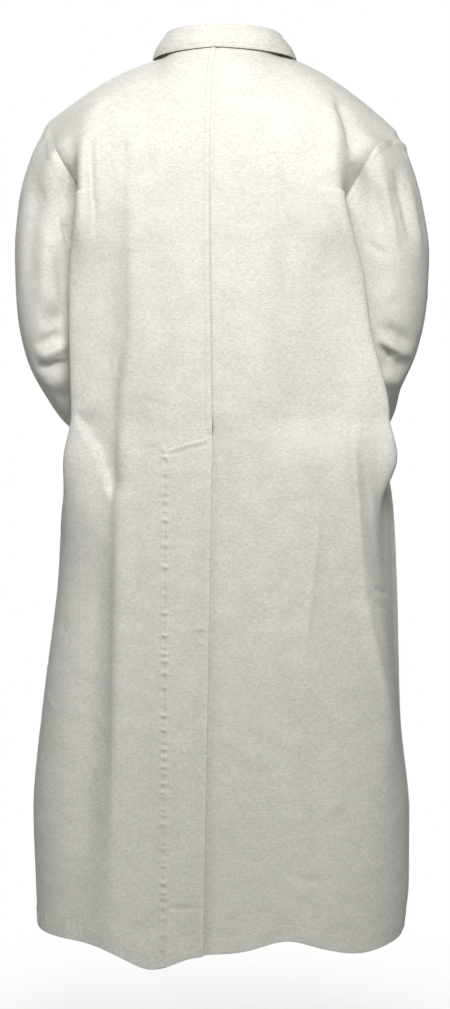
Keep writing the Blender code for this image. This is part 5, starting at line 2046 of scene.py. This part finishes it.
@dataclass(frozen=True)
class PaleFloor:
    """Matt white studio paper, fading out into the white backdrop."""

    height: float = -1.560
    radius: float = 1.3
    solid: float = 0.2
    colour: str = "#f4f4f2"
    rings: int = 24
    sides: int = 96

    def build(self) -> None:
        """Makes the floor as a disc."""
        r = np.linspace(0.0, self.radius, self.rings + 1)[1:, None]
        angle = np.linspace(0.0, 2 * math.pi, self.sides, endpoint=False)[None]
        level = np.full((self.rings, self.sides), self.height)
        points = np.stack([r * np.cos(angle), r * np.sin(angle), level], -1)
        faces = ring_faces(self.rings, self.sides)[:, ::-1].tolist() + [list(range(self.sides))]
        mesh = bpy.data.meshes.new("studio_floor")
        mesh.from_pydata(points.reshape(-1, 3).tolist(), [], faces)
        mesh.materials.append(self.material())
        linked("studio_floor", mesh)

    def material(self) -> bpy.types.Material:
        """Matt paper whose cover falls to nothing towards the rim of the disc."""
        finish, tree, shader = new_material("studio_paper")
        shader.inputs["Base Color"].default_value = linear(self.colour)
        shader.inputs["Roughness"].default_value = 0.95
        place = add_node(tree, "ShaderNodeTexCoord").outputs["Object"]
        flat = add_node(tree, "ShaderNodeVectorMath", {"operation": "MULTIPLY"},
                        in0=place, in1=(1.0, 1.0, 0.0))
        out = add_node(tree, "ShaderNodeVectorMath", {"operation": "LENGTH"}, in0=flat.outputs[0])
        cover = add_node(tree, "ShaderNodeMapRange", {"interpolation_type": "SMOOTHSTEP"},
                         value=out.outputs[1], from_min=self.solid, from_max=self.radius,
                         to_min=1.0, to_max=0.0)
        tree.links.new(cover.outputs[0], shader.inputs["Alpha"])
        return finish


@dataclass(frozen=True)
class SoftLight:
    """A softbox: a flat white panel that faces its aim."""

    name: str
    place: tuple[float, float, float]
    aim: tuple[float, float, float]
    size: tuple[float, float]
    power: float
    colour: str = "#ffffff"

    def build(self) -> None:
        """Makes the light and points it."""
        lamp = bpy.data.lights.new(self.name, "AREA")
        lamp.shape, lamp.size, lamp.size_y = "RECTANGLE", self.size[0], self.size[1]
        lamp.energy, lamp.color = self.power, linear(self.colour)[:3]
        light = linked(self.name, lamp)
        light.visible_camera = False
        light.location = self.place
        light.rotation_euler = aimed(self.place, self.aim)


def aimed(place: tuple[float, float, float], aim: tuple[float, float, float]) -> tuple[float, float, float]:
    """Turns that point an object's -Z from a place to an aim, its X kept level."""
    x, y, z = (b - a for a, b in zip(place, aim))
    return math.atan2(math.hypot(x, y), -z), 0.0, math.atan2(-x, y)


@dataclass(frozen=True)
class Studio:
    """Floor, light and camera of a plain white studio."""

    azimuth: float = math.radians(188.0)
    distance: float = 3.6
    eye_z: float = -0.400
    aim_z: float = -0.650
    lens_mm: float = 89.41
    sensor_mm: float = 36.0
    shift_x: float = 0.001
    ambient: float = 0.19
    lights: tuple[SoftLight, ...] = (
        SoftLight("key", (-0.40, 1.84, 0.60), (0.0, 0.1, 0.42), (0.8, 0.6), 48.0, "#fffefb"),
        SoftLight("left shoulder", (0.95, 0.95, 0.5), (0.2, 0.0, -0.15), (0.5, 0.5), 4.5),
        SoftLight("top", (0.0, 0.4, 1.45), (0.0, 0.0, -0.3), (1.8, 1.6), 2.5),
        SoftLight("front", (0.7, -2.3, 0.6), (0.0, 0.0, -0.2), (1.6, 1.2), 78.0),
    )

    def build(self) -> None:
        """Makes the floor, the lights, the world and the camera."""
        PaleFloor().build()
        for light in self.lights:
            light.build()
        self.world()
        place = (math.sin(self.azimuth) * self.distance, -math.cos(self.azimuth) * self.distance, self.eye_z)
        camera = bpy.data.cameras.new("camera")
        camera.lens, camera.sensor_width, camera.shift_x = self.lens_mm, self.sensor_mm, self.shift_x
        camera.clip_start, camera.clip_end = 0.05, 60.0
        eye = linked("camera", camera)
        eye.location = place
        eye.rotation_euler = aimed(place, (0.0, 0.0, self.aim_z))
        bpy.context.scene.camera = eye
        bpy.context.scene.view_settings.view_transform = "Standard"

    def world(self) -> None:
        """A white backdrop that gives the coat only soft dim light of its own."""
        world = bpy.data.worlds.new("studio")
        world.use_nodes = True
        tree = world.node_tree
        tree.nodes.clear()
        seen = add_node(tree, "ShaderNodeLightPath").outputs["Is Camera Ray"]
        soft = add_node(tree, "ShaderNodeBackground", color=linear("#f6f8f4"), strength=self.ambient)
        white = add_node(tree, "ShaderNodeBackground", color=linear("#ffffff"), strength=1.0)
        both = add_node(tree, "ShaderNodeMixShader", in0=seen, in1=soft.outputs[0], in2=white.outputs[0])
        add_node(tree, "ShaderNodeOutputWorld", surface=both.outputs[0])
        bpy.context.scene.world = world


def side_normals(panel: Panel) -> Array:
    """Normals of a panel's side line, for the panel past the seam."""
    grid, _, _ = panel.base()
    return grid.normals[:, -1].copy()


def body_rumple(side: Side, count: int, seed: int) -> Rumple:
    """Wrinkles of wear over one quarter of the body."""
    inner, outer = (0.0, 0.27) if side is Side.LEFT else (-0.27, 0.0)
    return Rumple(count, 0.0007, seed, (inner, -1.26), (outer, -0.03))


def build_coat(wardrobe: Wardrobe) -> None:
    """Builds the four panels, then the sleeves, the collar and the buttons.

    Args:
        wardrobe: The finishes.
    """
    back_dense = ((0.0, 0.010, 3.0), (0.19, 0.020, 0.9), (0.70, 0.10, 0.5), (1.0, 0.012, 2.5))
    front_dense = ((0.0, 0.020, 2.0), (1.0, 0.014, 2.5))
    made = (
        BackLeft(Side.LEFT, Face.BACK, 144, back_dense, (0.400, 1.330), 0.420,
                 body_rumple(Side.LEFT, 150, 51), BACK_FOLDS, BACK_CREASES),
        BackRight(Side.RIGHT, Face.BACK, 124, back_dense, (0.460, 1.330), 0.455,
                  body_rumple(Side.RIGHT, 150, 53), BACK_FOLDS, BACK_CREASES),
        FrontPanel(Side.LEFT, Face.FRONT, 80, front_dense, (0.380, 1.290), 0.400,
                   body_rumple(Side.LEFT, 120, 57), FRONT_FOLDS, FRONT_CREASES),
        FrontPanel(Side.RIGHT, Face.FRONT, 80, front_dense, (0.380, 1.290), 0.400,
                   body_rumple(Side.RIGHT, 120, 59), FRONT_FOLDS, FRONT_CREASES),
    )
    panels = {(panel.face, panel.side): panel for panel in made}
    sides = {key: side_normals(panel) for key, panel in panels.items()}
    done = {}
    for (face, side), panel in panels.items():
        done[face, side] = panel.build(wardrobe, sides[face.other, side])
    for side, seed in ((Side.LEFT, 31), (Side.RIGHT, 37)):
        sleeve = Sleeve(side, (0.520, 0.560), 0.240, Rumple(90, 0.0009, seed, (0.0, 0.02), (0.50, 0.48)))
        below = panels[Face.BACK, side].below_arm
        sleeve.build(wardrobe, done[Face.BACK, side], done[Face.FRONT, side], below)
    Collar().build(wardrobe)
    Buttons().build(wardrobe, done[Face.FRONT, Side.LEFT])


def main() -> None:
    """Builds the coat and its studio."""
    logging.basicConfig(level=logging.INFO, format="%(message)s")
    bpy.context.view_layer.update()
    wardrobe = Wardrobe(Canvas().material(), Canvas(name="collar_canvas", crossways=True).material(),
                        SewingThread().material(), Horn().material())
    build_coat(wardrobe)
    Studio().build()


if __name__ == "__main__":
    main()
